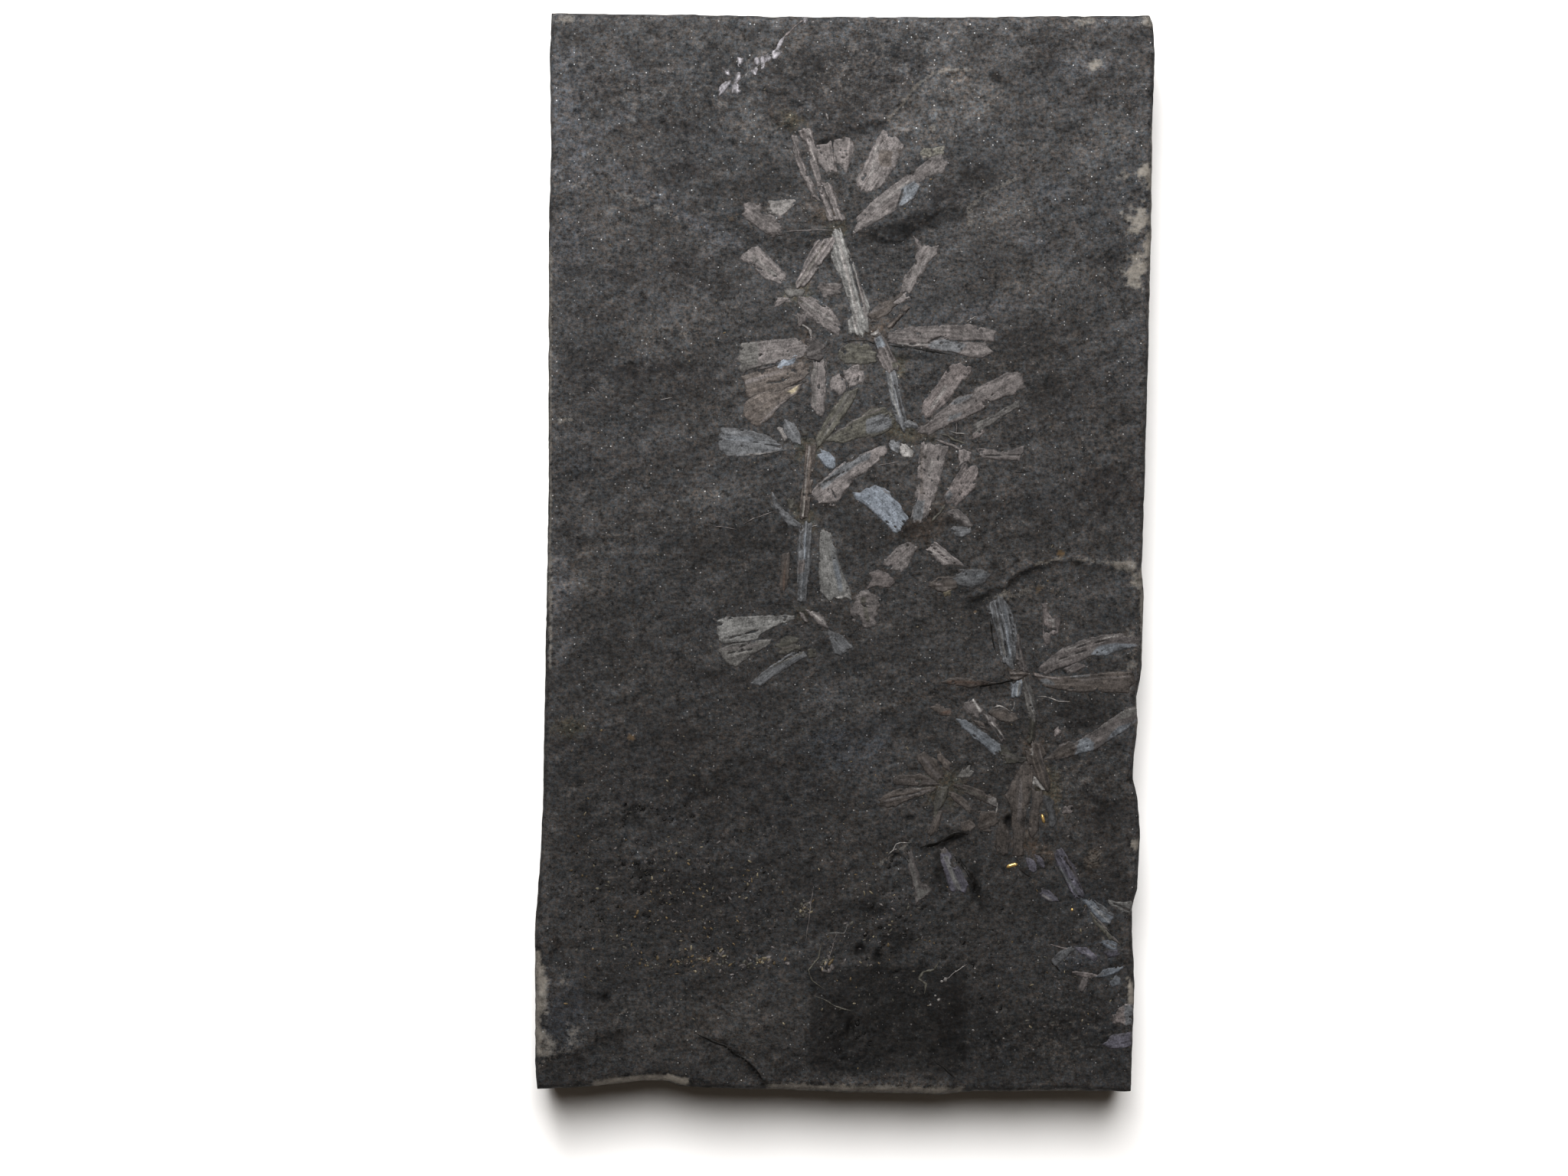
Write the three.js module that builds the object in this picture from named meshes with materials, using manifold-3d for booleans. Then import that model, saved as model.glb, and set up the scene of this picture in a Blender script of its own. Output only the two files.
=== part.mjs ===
// A plate of dark siltstone, sawn to a rectangle, lying on its flat back with its split face up.
// The face carries flattened shoots of a whorled plant: ribbed stems with wedge leaves round each joint.
// Millimetres. +Z points out of the face and +Y towards the plate's upper edge.
// The origin is on the back, under the middle of the outline.

import * as THREE from "three";
import { mergeVertices } from "three/addons/utils/BufferGeometryUtils.js";
import Module from "manifold-3d";

// Driving dimensions of the plate
const PLATE_WIDTH = 81.3;
const PLATE_HEIGHT = 141.9;
const PLATE_THICKNESS = 13;
const ARRIS_DROP = 0.7; // how far the worn edge of the face lies below it
const ARRIS_INSET = 0.5;
const SWELL = 0.35; // the broad unevenness of the split face
const REAR_BURIED = 0.3; // a lamina's rear ends this far under the face

// Driving dimensions of the fossils
const FILM = 0.3; // the films stand this far out of the face
const LEAF_TIP = 0.18; // and this far at a leaf's tip, where the film thins
const RIB = 0.55; // the crests of a stem's ribs, above the face
const FURROW = 0.32; // the groove between two ribs, and a stem's sides
const ROOTED = 1.2; // how deep a fossil or lamina reaches into the stone

// The face is a grid of about 4 mm cells, which the films and laminae are fused to
const COLUMNS = 24;
const ROWS = 40;
const SMALLEST = 0.02; // edges and steps below this are closed up
const TALLEST = 2; // nothing on the face stands taller than this

// The four sawn edges, as points along each edge and how far out the stone reaches there
const LEFT_EDGE = [
  [-70.95, 40.3],
  [-68.6, 40.6],
  [-50.6, 40.65],
  [-47.6, 40.5],
  [-41.6, 40.0],
  [-33.6, 39.6],
  [-15.1, 39.3],
  [6.4, 38.9],
  [43.8, 38.8],
  [52.8, 38.5],
  [64.8, 38.7],
  [70.95, 38.5],
];
const RIGHT_EDGE = [
  [-70.95, 37.6],
  [-56.6, 38.0],
  [-46.7, 37.6],
  [-44.1, 38.4],
  [-37.2, 38.7],
  [-32.2, 38.4],
  [-29.7, 37.8],
  [-26.7, 37.9],
  [-22.2, 38.5],
  [-18.9, 38.3],
  [-14.6, 39.0],
  [-5.7, 39.3],
  [-1.7, 39.0],
  [10.8, 39.4],
  [27.4, 39.9],
  [42.4, 40.3],
  [57.4, 40.4],
  [64.8, 40.65],
  [68.6, 40.2],
  [70.95, 39.2],
];
const UPPER_EDGE = [
  [-40.65, 70.95],
  [-2.4, 70.4],
  [19.6, 70.5],
  [40.65, 70.6],
];
const LOWER_EDGE = [
  [-40.65, 70.1],
  [-32.4, 69.8],
  [-26.2, 69.1],
  [-23.2, 69.1],
  [-21.0, 69.8],
  [-2.4, 70.5],
  [14.6, 70.95],
  [19.6, 70.5],
  [40.65, 70.5],
];

// Laminae that broke away along a ragged line. The stone behind the line stands "rise" above the stone
// in front of it, and sinks back into the face at the end of "back".
const LAMINAE = [
  // the tongue of stone over the top of the main stem
  {
    line: [
      [-12.6, 60.5],
      [-10.3, 58.2],
      [-8.4, 56.6],
      [-3.6, 54.1],
      [1.2, 56.0],
      [5.7, 56.7],
      [9.6, 61.3],
    ],
    rise: 0.8,
    back: [0, 9],
  },
  // the edge of the round scar right of the tongue
  {
    line: [
      [9.2, 61.1],
      [12.1, 63.0],
      [15.9, 63.2],
      [20.6, 62.6],
      [24.5, 60.5],
    ],
    rise: 0.5,
    back: [1, 6],
  },
  // the hollow's rim, right of the first joint
  {
    line: [
      [0.8, 42.2],
      [4.6, 41.0],
      [7.3, 40.9],
      [9.2, 42.2],
      [12.7, 45.4],
      [16.4, 47.0],
      [20.2, 49.2],
    ],
    rise: 0.55,
    back: [0, 7],
  },
  // the ledge left of the first joint
  {
    line: [
      [-17.5, 44.6],
      [-11.2, 41.8],
      [-6.9, 41.0],
      [-2.4, 42.1],
    ],
    rise: 0.4,
    back: [-1, 7],
  },
  // the long step that comes in from the right edge
  {
    line: [
      [15.5, -6.2],
      [18.6, -5.3],
      [24.5, -1.7],
      [28.3, -0.7],
      [36.9, -1.4],
      [39.6, -4.2],
    ],
    rise: 0.5,
    back: [0, 8],
  },
  // the step above the lower rosette
  {
    line: [
      [1.8, -23.2],
      [4.6, -21.0],
      [7.3, -19.8],
      [12.7, -17.7],
      [21.8, -16.6],
    ],
    rise: 0.35,
    back: [-2, 6],
  },
  // the curved edge left of the rosette
  {
    line: [
      [-5.8, -30.1],
      [-6.9, -27.9],
      [-6.3, -25.2],
      [-3.6, -22.5],
      [1.8, -19.3],
    ],
    rise: 0.3,
    back: [-5, 3],
  },
  // the ledges under the rosette's lowest leaf
  {
    line: [
      [9.6, -38.3],
      [13.2, -37.7],
      [14.7, -36.6],
      [17.0, -36.2],
    ],
    rise: 0.5,
    back: [-0.5, 4],
  },
  {
    line: [
      [14.5, -39.4],
      [15.5, -40.7],
      [16.7, -42.7],
      [16.9, -44.2],
    ],
    rise: 0.4,
    back: [-4, -0.6],
  },
  // the low chips at the foot of the plate
  {
    line: [
      [-19.3, -63.0],
      [-15.5, -63.8],
      [-12.3, -66.8],
      [-9.9, -69.8],
    ],
    rise: 0.5,
    back: [5, 4],
  },
  {
    line: [
      [-36.6, -65.5],
      [-31.7, -63.3],
      [-27.9, -61.9],
    ],
    rise: 0.35,
    back: [-1, 4],
  },
  {
    line: [
      [-40.2, -66.0],
      [-37.2, -65.0],
      [-34.2, -64.3],
    ],
    rise: 0.35,
    back: [-1, 4],
  },
];

// Small pits in the face, as place, half width, half height and depth
const PITS = [
  [-31.2, -58.0, 0.5, 0.8, 0.5],
  [21.3, -34.7, 0.5, 1.1, 0.5],
  [6.8, -39.5, 0.8, 0.5, 0.4],
];

// Stems, as the line that each follows, then its width at the start and at the end.
const STEMS = {
  main: [
    [[[-5.4, 55.5], [-3.2, 49.0], [-1.2, 43.6]], 1.6, 2.0],
    [[[-7.0, 54.4], [-5.4, 50.0], [-3.6, 46.2]], 0.7, 0.5],
    [[[-0.8, 42.2], [0.5, 35.6], [1.9, 28.8]], 1.6, 2.2],
    [[[4.4, 29.0], [6.3, 24.2]], 1.5, 1.3],
    [[[6.0, 23.9], [7.0, 19.8], [7.8, 16.2], [10.2, 16.3]], 0.9, 0.8],
  ],
  left: [
    [[[-2.9, 41.2], [-4.5, 38.0], [-6.1, 34.7]], 1.9, 1.4],
    [[[-6.1, 33.2], [-5.4, 29.9]], 1.0, 0.9],
    [[[-4.3, 13.9], [-4.6, 9.5], [-4.9, 5.2]], 1.3, 1.0],
    [[[-4.8, 4.0], [-5.5, -1.5], [-5.9, -6.9]], 1.6, 0.9],
  ],
  right: [
    [[[20.0, -6.0], [21.0, -10.2], [21.9, -14.2]], 2.6, 2.2],
    [[[22.3, -10.6], [23.7, -15.2]], 0.8, 0.8],
    [[[23.2, -16.2], [23.9, -19.6], [24.7, -23.2]], 2.4, 1.0],
  ],
  lower: [[[[28.0, -38.7], [29.5, -41.6], [31.0, -44.7]], 1.8, 1.6]],
};

// Wedge leaves and scraps of leaf, each as base x, base y, tip x, tip y, width at the base and at the tip.
const LEAVES = {
  main: [
    [-1.3, 49.6, -1.3, 54.2, 0.8, 4.2],
    [2.7, 47.8, 6.2, 54.3, 2.5, 3.4],
    [1.4, 42.6, 12.7, 51.6, 0.8, 2.4],
    [-6.7, 42.2, -13.2, 44.8, 1.2, 3.6],
    [4.6, 31.9, 11.4, 40.1, 0.8, 2.6],
    [5.6, 28.2, 18.8, 27.9, 1.2, 4.2],
    [3.6, 26.5, -4.2, 26.3, 2.0, 2.4],
    [5.7, 13.7, -3.2, 7.4, 1.2, 3.0],
    [7.3, 14.5, 8.5, 12.6, 1.2, 1.4],
    [10.7, 18.2, 15.3, 24.6, 1.4, 2.4],
    [10.0, 15.9, 23.2, 22.3, 1.2, 3.4],
    [15.8, 15.1, 22.6, 19.7, 0.6, 1.2],
    [14.6, 14.0, 22.9, 12.8, 0.6, 1.8],
    [9.4, 4.2, 11.8, 14.3, 1.4, 3.6],
    [13.2, 6.8, 16.6, 11.2, 2.2, 2.6],
    [6.8, 3.4, 3.3, 8.4, 1.8, 4.4],
    [13.9, 5.3, 16.3, 3.8, 0.8, 1.0],
    [9.0, 1.3, 6.3, -1.4, 1.2, 2.2],
    [6.2, -2.0, 2.4, -9.2, 2.4, 3.2],
    [11.2, 0.9, 13.6, -1.2, 1.6, 1.8],
    [11.2, -4.2, 18.5, -2.9, 1.4, 1.8],
  ],
  left: [
    [-6.3, 33.5, -9.3, 32.6, 0.8, 0.9],
    [-8.3, 35.5, -12.8, 39.6, 1.4, 2.2],
    [-5.8, 33.1, -0.8, 29.0, 1.6, 1.8],
    [-4.9, 27.1, -13.4, 25.6, 1.4, 3.8],
    [-5.2, 24.3, -13.1, 22.0, 1.4, 3.0],
    [-5.7, 22.1, -12.0, 18.4, 0.8, 3.4],
    [-3.1, 17.8, -3.3, 25.0, 0.6, 1.6],
    [0.0, 23.4, 2.6, 23.3, 2.4, 2.6],
    [-5.9, 14.6, -7.7, 17.8, 1.2, 1.0],
    [-8.2, 13.7, -16.2, 14.4, 0.8, 3.4],
    [-4.1, 14.6, 1.5, 21.9, 0.8, 1.6],
    [-2.3, 15.1, 5.5, 17.8, 0.7, 2.6],
    [-3.2, 13.3, -1.5, 11.4, 1.0, 1.1],
    [-5.8, 3.7, -9.6, 7.9, 0.7, 0.7],
    [-2.7, 2.9, -1.3, -6.0, 1.0, 4.0],
    [-6.7, -8.2, -16.3, -10.1, 0.6, 2.8],
    [-9.6, -11.5, -15.6, -13.5, 0.6, 2.8],
    [-5.6, -12.8, -11.9, -16.9, 1.0, 1.2],
    [-5.1, -7.4, -0.1, -12.3, 0.8, 2.2],
  ],
  right: [
    [25.4, -15.5, 38.6, -11.6, 0.6, 2.2],
    [24.7, -16.3, 37.8, -16.8, 0.8, 2.3],
    [21.6, -16.6, 13.5, -17.1, 0.5, 0.8],
    [26.8, -6.7, 26.0, -11.6, 1.8, 1.4],
    [21.4, -27.0, 15.4, -22.2, 0.8, 1.6],
    [26.9, -26.7, 38.3, -20.9, 0.6, 2.6],
    [24.2, -27.2, 22.8, -39.8, 1.8, 1.2],
    [25.3, -28.9, 24.5, -36.7, 1.4, 1.2],
  ],
  rosette: [
    [12.5, -29.3, 10.2, -26.9, 0.6, 1.6],
    [12.3, -29.7, 6.4, -29.6, 0.8, 1.2],
    [11.9, -30.8, 4.8, -32.4, 0.8, 1.8],
    [13.4, -30.2, 19.6, -32.6, 0.7, 1.6],
    [13.9, -31.2, 17.8, -34.4, 0.9, 2.4],
    [12.9, -30.8, 11.2, -37.0, 1.0, 1.4],
    [8.3, -38.8, 9.9, -45.1, 0.6, 2.2],
    [12.8, -38.7, 14.6, -44.1, 0.8, 2.4],
  ],
  lower: [
    [31.6, -45.6, 34.6, -48.6, 1.0, 1.2],
    [34.6, -45.0, 37.2, -47.0, 0.8, 0.9],
    [30.9, -51.6, 33.4, -53.1, 0.8, 0.9],
    [29.9, -51.4, 27.4, -53.4, 0.9, 1.0],
    [33.0, -55.0, 36.4, -54.1, 0.6, 0.7],
    [34.2, -64.7, 37.4, -63.2, 0.7, 1.6],
  ],
};

// The white vein at the plate's upper edge, as beads of mineral strung on a line
const VEIN_LINE = [
  [-5.2, 69.9],
  [-8.5, 66.7],
  [-10.6, 64.5],
  [-14.1, 61.6],
  [-16.0, 60.3],
];
const VEIN_WIDTH = 0.7;

// Value at a place along a list of [place, value] points
function alongEdge(points, place) {
  const next = points.findIndex(([at]) => at >= place);
  if (next <= 0) return points[next === 0 ? 0 : points.length - 1][1];
  const [a, b] = [points[next - 1], points[next]];
  return THREE.MathUtils.mapLinear(place, a[0], b[0], a[1], b[1]);
}

// The place in plan of a point a share u across and v up the face
function planPoint(u, v) {
  const x = (u - 0.5) * PLATE_WIDTH;
  const y = (v - 0.5) * PLATE_HEIGHT;
  return [
    THREE.MathUtils.lerp(-alongEdge(LEFT_EDGE, y), alongEdge(RIGHT_EDGE, y), u),
    THREE.MathUtils.lerp(-alongEdge(LOWER_EDGE, x), alongEdge(UPPER_EDGE, x), v),
  ];
}

// Swells of the bedding plane, as share of SWELL, turns per mm across and up the face (in radians), phase
const SWELLS = [
  [0.5, 0.06, 0.045, 0.6],
  [0.3, 0.11, -0.07, 2.1],
  [0.2, 0.24, 0.17, 1.3],
];

// The face's height before any lamina or fossil
function faceHeight(x, y) {
  const swell = SWELLS.reduce(
    (sum, [share, across, up, phase]) => sum + share * Math.sin(across * x + up * y + phase),
    0,
  );
  return PLATE_THICKNESS + SWELL * (swell - 1);
}

const wasm = await Module();
wasm.setup();

// A closed geometry as a solid that can be joined and cut
function solidOf(geometry) {
  const bare = geometry.clone();
  bare.deleteAttribute("normal");
  bare.deleteAttribute("uv");
  const merged = mergeVertices(bare, 1e-4);
  return new wasm.Manifold(
    new wasm.Mesh({
      numProp: 3,
      vertProperties: merged.attributes.position.array,
      triVerts: new Uint32Array(merged.index.array),
    }),
  );
}

// A solid as a flat-shaded geometry
function geometryOf(solid) {
  const mesh = solid.getMesh();
  const geometry = new THREE.BufferGeometry();
  geometry.setAttribute("position", new THREE.BufferAttribute(mesh.vertProperties, 3));
  geometry.setIndex(new THREE.BufferAttribute(mesh.triVerts, 1));
  const flat = geometry.toNonIndexed();
  flat.computeVertexNormals();
  return flat;
}

// The slab: a box whose face is bent to the bedding plane, with worn arrises and a flat back.
// What is raised lifts the face only.
function slabWithFace(raised) {
  const box = new THREE.BoxGeometry(1, 1, 1, COLUMNS, ROWS, 2);
  const at = box.attributes.position;
  for (let i = 0; i < at.count; i += 1) {
    const [u, v, w] = [at.getX(i) + 0.5, at.getY(i) + 0.5, at.getZ(i) + 0.5];
    let [x, y] = planPoint(u, v);
    const rim = u === 0 || u === 1 || v === 0 || v === 1;
    let z = 0;
    if (w > 0.9) {
      z = faceHeight(x, y) + raised;
      if (rim) {
        x -= ARRIS_INSET * (u === 1 ? 1 : u === 0 ? -1 : 0);
        y -= ARRIS_INSET * (v === 1 ? 1 : v === 0 ? -1 : 0);
      }
    } else if (w > 0.1) {
      z = faceHeight(x, y) - ARRIS_DROP;
    }
    at.setXYZ(i, x, y, z);
  }
  return solidOf(box);
}

// A low plate standing on the face: corners are [x, y, height above the face], counterclockwise
function lowPlate(corners) {
  const outline = corners.map(([x, y]) => new THREE.Vector2(x, y));
  const prism = new THREE.ExtrudeGeometry(new THREE.Shape(outline), {
    depth: 1,
    bevelEnabled: false,
    steps: 1,
  });
  const at = prism.attributes.position;
  for (let i = 0; i < at.count; i += 1) {
    const [x, y] = [at.getX(i), at.getY(i)];
    const corner = corners.find(([cx, cy]) => Math.hypot(cx - x, cy - y) < 1e-3);
    at.setZ(i, faceHeight(x, y) + (at.getZ(i) > 0.5 ? corner[2] : -ROOTED));
  }
  return solidOf(prism);
}

// Corners put in counterclockwise order
function turned(corners) {
  const outline = corners.map(([x, y]) => new THREE.Vector2(x, y));
  return THREE.ShapeUtils.area(outline) < 0 ? corners.slice().reverse() : corners;
}

// A lamina: full rise along its broken line, and buried behind it
function lamina({ line, rise, back }) {
  const front = line.map(([x, y]) => [x, y, rise]);
  const rear = line.map(([x, y]) => [x + back[0], y + back[1], -REAR_BURIED]);
  return lowPlate(turned([...front, ...rear.reverse()]));
}

// A leaf's outline, as a share of its length and a share of its half width there: a wedge that widens
// from its base, with a notch in the middle of its rounded tip
const LEAF_OUTLINE = [
  [0, -1],
  [0.5, -1],
  [0.94, -0.95],
  [1, -0.45],
  [0.93, 0],
  [1, 0.4],
  [0.96, 0.95],
  [0.5, 1],
  [0, 1],
];

function leaf([x0, y0, x1, y1, baseWidth, tipWidth]) {
  const base = new THREE.Vector2(x0, y0);
  const span = new THREE.Vector2(x1, y1).sub(base);
  const across = new THREE.Vector2(-span.y, span.x).normalize();
  const corners = LEAF_OUTLINE.map(([share, side]) => {
    const half = THREE.MathUtils.lerp(baseWidth, tipWidth, Math.sqrt(share)) / 2;
    const corner = base.clone().addScaledVector(span, share).addScaledVector(across, side * half);
    return [corner.x, corner.y, THREE.MathUtils.lerp(FILM, LEAF_TIP, share)];
  });
  return lowPlate(turned(corners));
}

// The lines that run the length of a stem, as a share of its half width and a height above the face
const STEM_LINES = [
  [-1, FURROW],
  [-0.5, RIB],
  [0, FURROW],
  [0.5, RIB],
  [1, FURROW],
];

// A stem: a strip bent along its line, with two ribs and a furrow between them
function stem([line, startWidth, endWidth]) {
  const points = line.map(([x, y]) => new THREE.Vector2(x, y));
  const lines = STEM_LINES.map(([side, height]) =>
    points.map((point, i) => {
      const before = points[Math.max(i - 1, 0)];
      const after = points[Math.min(i + 1, points.length - 1)];
      const along = after.clone().sub(before).normalize();
      const half = THREE.MathUtils.lerp(startWidth, endWidth, i / (points.length - 1)) / 2;
      return [point.x - along.y * half * side, point.y + along.x * half * side, height];
    }),
  );
  return lines
    .slice(1)
    .map((next, i) => lowPlate(turned([...lines[i], ...next.slice().reverse()])))
    .reduce((whole, strip) => whole.add(strip));
}

// A pit: an eight-sided cup cut into the face, half as wide at its bottom
function pit([x, y, halfWidth, halfHeight, depth]) {
  const above = 1;
  const cup = new THREE.CylinderGeometry(1, 0.5, depth + above, 8);
  cup.rotateX(Math.PI / 2);
  cup.scale(halfWidth, halfHeight, 1);
  cup.translate(x, y, faceHeight(x, y) + (above - depth) / 2);
  return solidOf(cup);
}

// Everything that stands on the face, trimmed to the plate's outline
const raised = [
  ...LAMINAE.map(lamina),
  ...Object.values(LEAVES).flat().map(leaf),
  ...Object.values(STEMS).flat().map(stem),
  stem([VEIN_LINE, VEIN_WIDTH, VEIN_WIDTH]),
].reduce((whole, piece) => whole.add(piece));
const trimmed = raised.intersect(slabWithFace(TALLEST));

const bare = PITS.map(pit).reduce((whole, cup) => whole.subtract(cup), slabWithFace(0));
const slab = bare.add(trimmed).simplify(SMALLEST);

const siltstone = new THREE.MeshStandardMaterial({
  color: new THREE.Color().setRGB(0.3, 0.29, 0.29, THREE.SRGBColorSpace),
  roughness: 0.85,
  metalness: 0,
});
const fossilSlab = new THREE.Mesh(geometryOf(slab), siltstone);
fossilSlab.name = "fossil_slab";

const plate = new THREE.Group();
plate.add(fossilSlab);

export default plate;
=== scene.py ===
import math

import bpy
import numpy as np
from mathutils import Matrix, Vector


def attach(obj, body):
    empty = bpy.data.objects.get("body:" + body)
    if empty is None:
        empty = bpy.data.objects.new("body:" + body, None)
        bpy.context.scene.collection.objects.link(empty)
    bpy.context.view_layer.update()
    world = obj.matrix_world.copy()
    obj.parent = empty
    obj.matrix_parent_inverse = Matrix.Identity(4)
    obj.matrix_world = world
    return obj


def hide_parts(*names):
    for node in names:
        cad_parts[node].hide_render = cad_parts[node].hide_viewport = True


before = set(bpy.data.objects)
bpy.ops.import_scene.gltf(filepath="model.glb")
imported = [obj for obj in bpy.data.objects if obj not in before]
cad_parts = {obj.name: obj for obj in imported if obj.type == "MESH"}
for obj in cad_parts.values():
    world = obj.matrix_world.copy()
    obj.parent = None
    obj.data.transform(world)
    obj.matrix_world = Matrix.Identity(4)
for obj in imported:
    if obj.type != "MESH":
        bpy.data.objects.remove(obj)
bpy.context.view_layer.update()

# A plate of dark siltstone lying on its sawn back, with flattened shoots of a whorled plant on its
# split face. The stone is one closed mesh. The fossils are thin closed films that follow its face.
# Plan places and heights are in millimetres until a mesh is made, and metres from there on.

MM = 0.001
BODY = "root"
NODE = "fossil_slab"

# The plate: its size, the swells of its split face and its worn edges
PLATE_WIDTH = 81.3
PLATE_HEIGHT = 141.9
PLATE_THICKNESS = 13.0
SWELL = 0.35
SWELLS = [(0.5, 0.06, 0.045, 0.6), (0.3, 0.11, -0.07, 2.1), (0.2, 0.24, 0.17, 1.3)]
ARRIS_DROP = 0.6
ARRIS_REACH = 0.9
ARRIS_INSET = 0.08

# The stone's fabric runs at a turn in degrees, and the stone is coarser near the upper edge
FABRIC_TURN = 24
COARSE_FROM = 50
COARSE_FULL = 62

# Mesh of the stone: the face is four times as fine as the back
BACK_COLUMNS = 54
BACK_ROWS = 94
FINER = 4
SIDE_SHARES = (0.05, 0.16, 0.34, 0.52, 0.70, 0.90)

# Sawn sides and back: roughness, bedding lines and the arcs that the saw left
SIDE_ROUGH = 0.07
SIDE_GRAIN = 0.05
BEDDING_DEPTH = 0.10
BEDDING_PITCH = 2.9
SAW_MARK = 0.12
SAW_MIDDLE = (-130, 60)
SAW_PITCH = 4.6
BACK_INSET = 0.25
BACK_TONE = 1.05

# Films over the fossils
FILM_CELL = 0.12  # of their mesh
LEAF_FILM = 0.1  # how far leaves stand out of the face
STEM_FILM = 0.18
EDGE_DIP = 0.2  # how far a film's edge dips under the face
FILM_ROOT = 0.5  # how deep its underside lies
RIB_SPACING = 0.62
RIB_HEIGHT = 0.07
MARGIN = 0.45  # of mesh round an outline
FAN = 4.0  # how far behind a leaf's narrow end its fibres meet
ON_PLATE = 0.15  # how far films stay inside the plate's edge
RIM_SOFT = 0.16
FLAKED = 0.26  # share of a fully worn film that has flaked away
FLAKE_DIP = 0.07
CRACK_DIP = 0.1
CRACK_SHADE = 0.85
RIB_SHADE = 0.2
THREAD_STEP = 0.22  # between points along a thread
TINY = 1e-9
FAR = 1e6
TURN = 2 * math.pi

# Tints of the films, threads and grains, as linear albedo
STONE_TINT = (0.036, 0.0345, 0.035)
TINTS = {
    "brown": (0.080, 0.0735, 0.0725),
    "dim": (0.057, 0.050, 0.046),
    "olive": (0.064, 0.062, 0.054),
    "tan": (0.100, 0.0925, 0.0915),
    "pink": (0.110, 0.099, 0.0975),
    "light": (0.150, 0.144, 0.141),
    "white": (0.260, 0.255, 0.250),
    "grey": (0.088, 0.086, 0.083),
    "pale": (0.132, 0.132, 0.130),
    "slate": (0.083, 0.086, 0.091),
    "steel": (0.106, 0.115, 0.127),
    "blue": (0.138, 0.153, 0.174),
    "lilac": (0.081, 0.079, 0.095),
    "ochre": (0.110, 0.084, 0.050),
    "straw": (0.140, 0.124, 0.092),
    "rust": (0.060, 0.043, 0.035),
    "dark": (0.008, 0.0075, 0.007),
    "gold": (0.500, 0.360, 0.160),
    "quartz": (0.172, 0.168, 0.180),
}

# The four sawn edges, as points along each edge and how far out the stone reaches there
LEFT_EDGE = [
    (-70.95, 40.3), (-68.6, 40.6), (-50.6, 40.65), (-47.6, 40.5), (-41.6, 40), (-33.6, 39.6),
    (-15.1, 39.3), (6.4, 38.9), (43.8, 38.8), (52.8, 38.5), (64.8, 38.7), (70.95, 38.5),
]
RIGHT_EDGE = [
    (-70.95, 37.6), (-56.6, 38), (-46.7, 37.6), (-44.1, 38.4), (-37.2, 38.7), (-32.2, 38.4),
    (-29.7, 37.8), (-26.7, 37.9), (-22.2, 38.5), (-18.9, 38.3), (-14.6, 39), (-5.7, 39.3),
    (-1.7, 39), (10.8, 39.4), (27.4, 39.9), (42.4, 40.3), (57.4, 40.4), (64.8, 40.65),
    (69.8, 40.5), (70.95, 40),
]
UPPER_EDGE = [(-40.65, 70.95), (-2.4, 70.4), (19.6, 70.5), (40.65, 70.6)]
LOWER_EDGE = [
    (-40.65, 70.1), (-32.4, 69.8), (-26.2, 69.1), (-23.2, 69.1), (-21, 69.8), (-2.4, 70.5),
    (14.6, 70.95), (19.6, 70.5), (40.65, 70.5),
]

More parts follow.
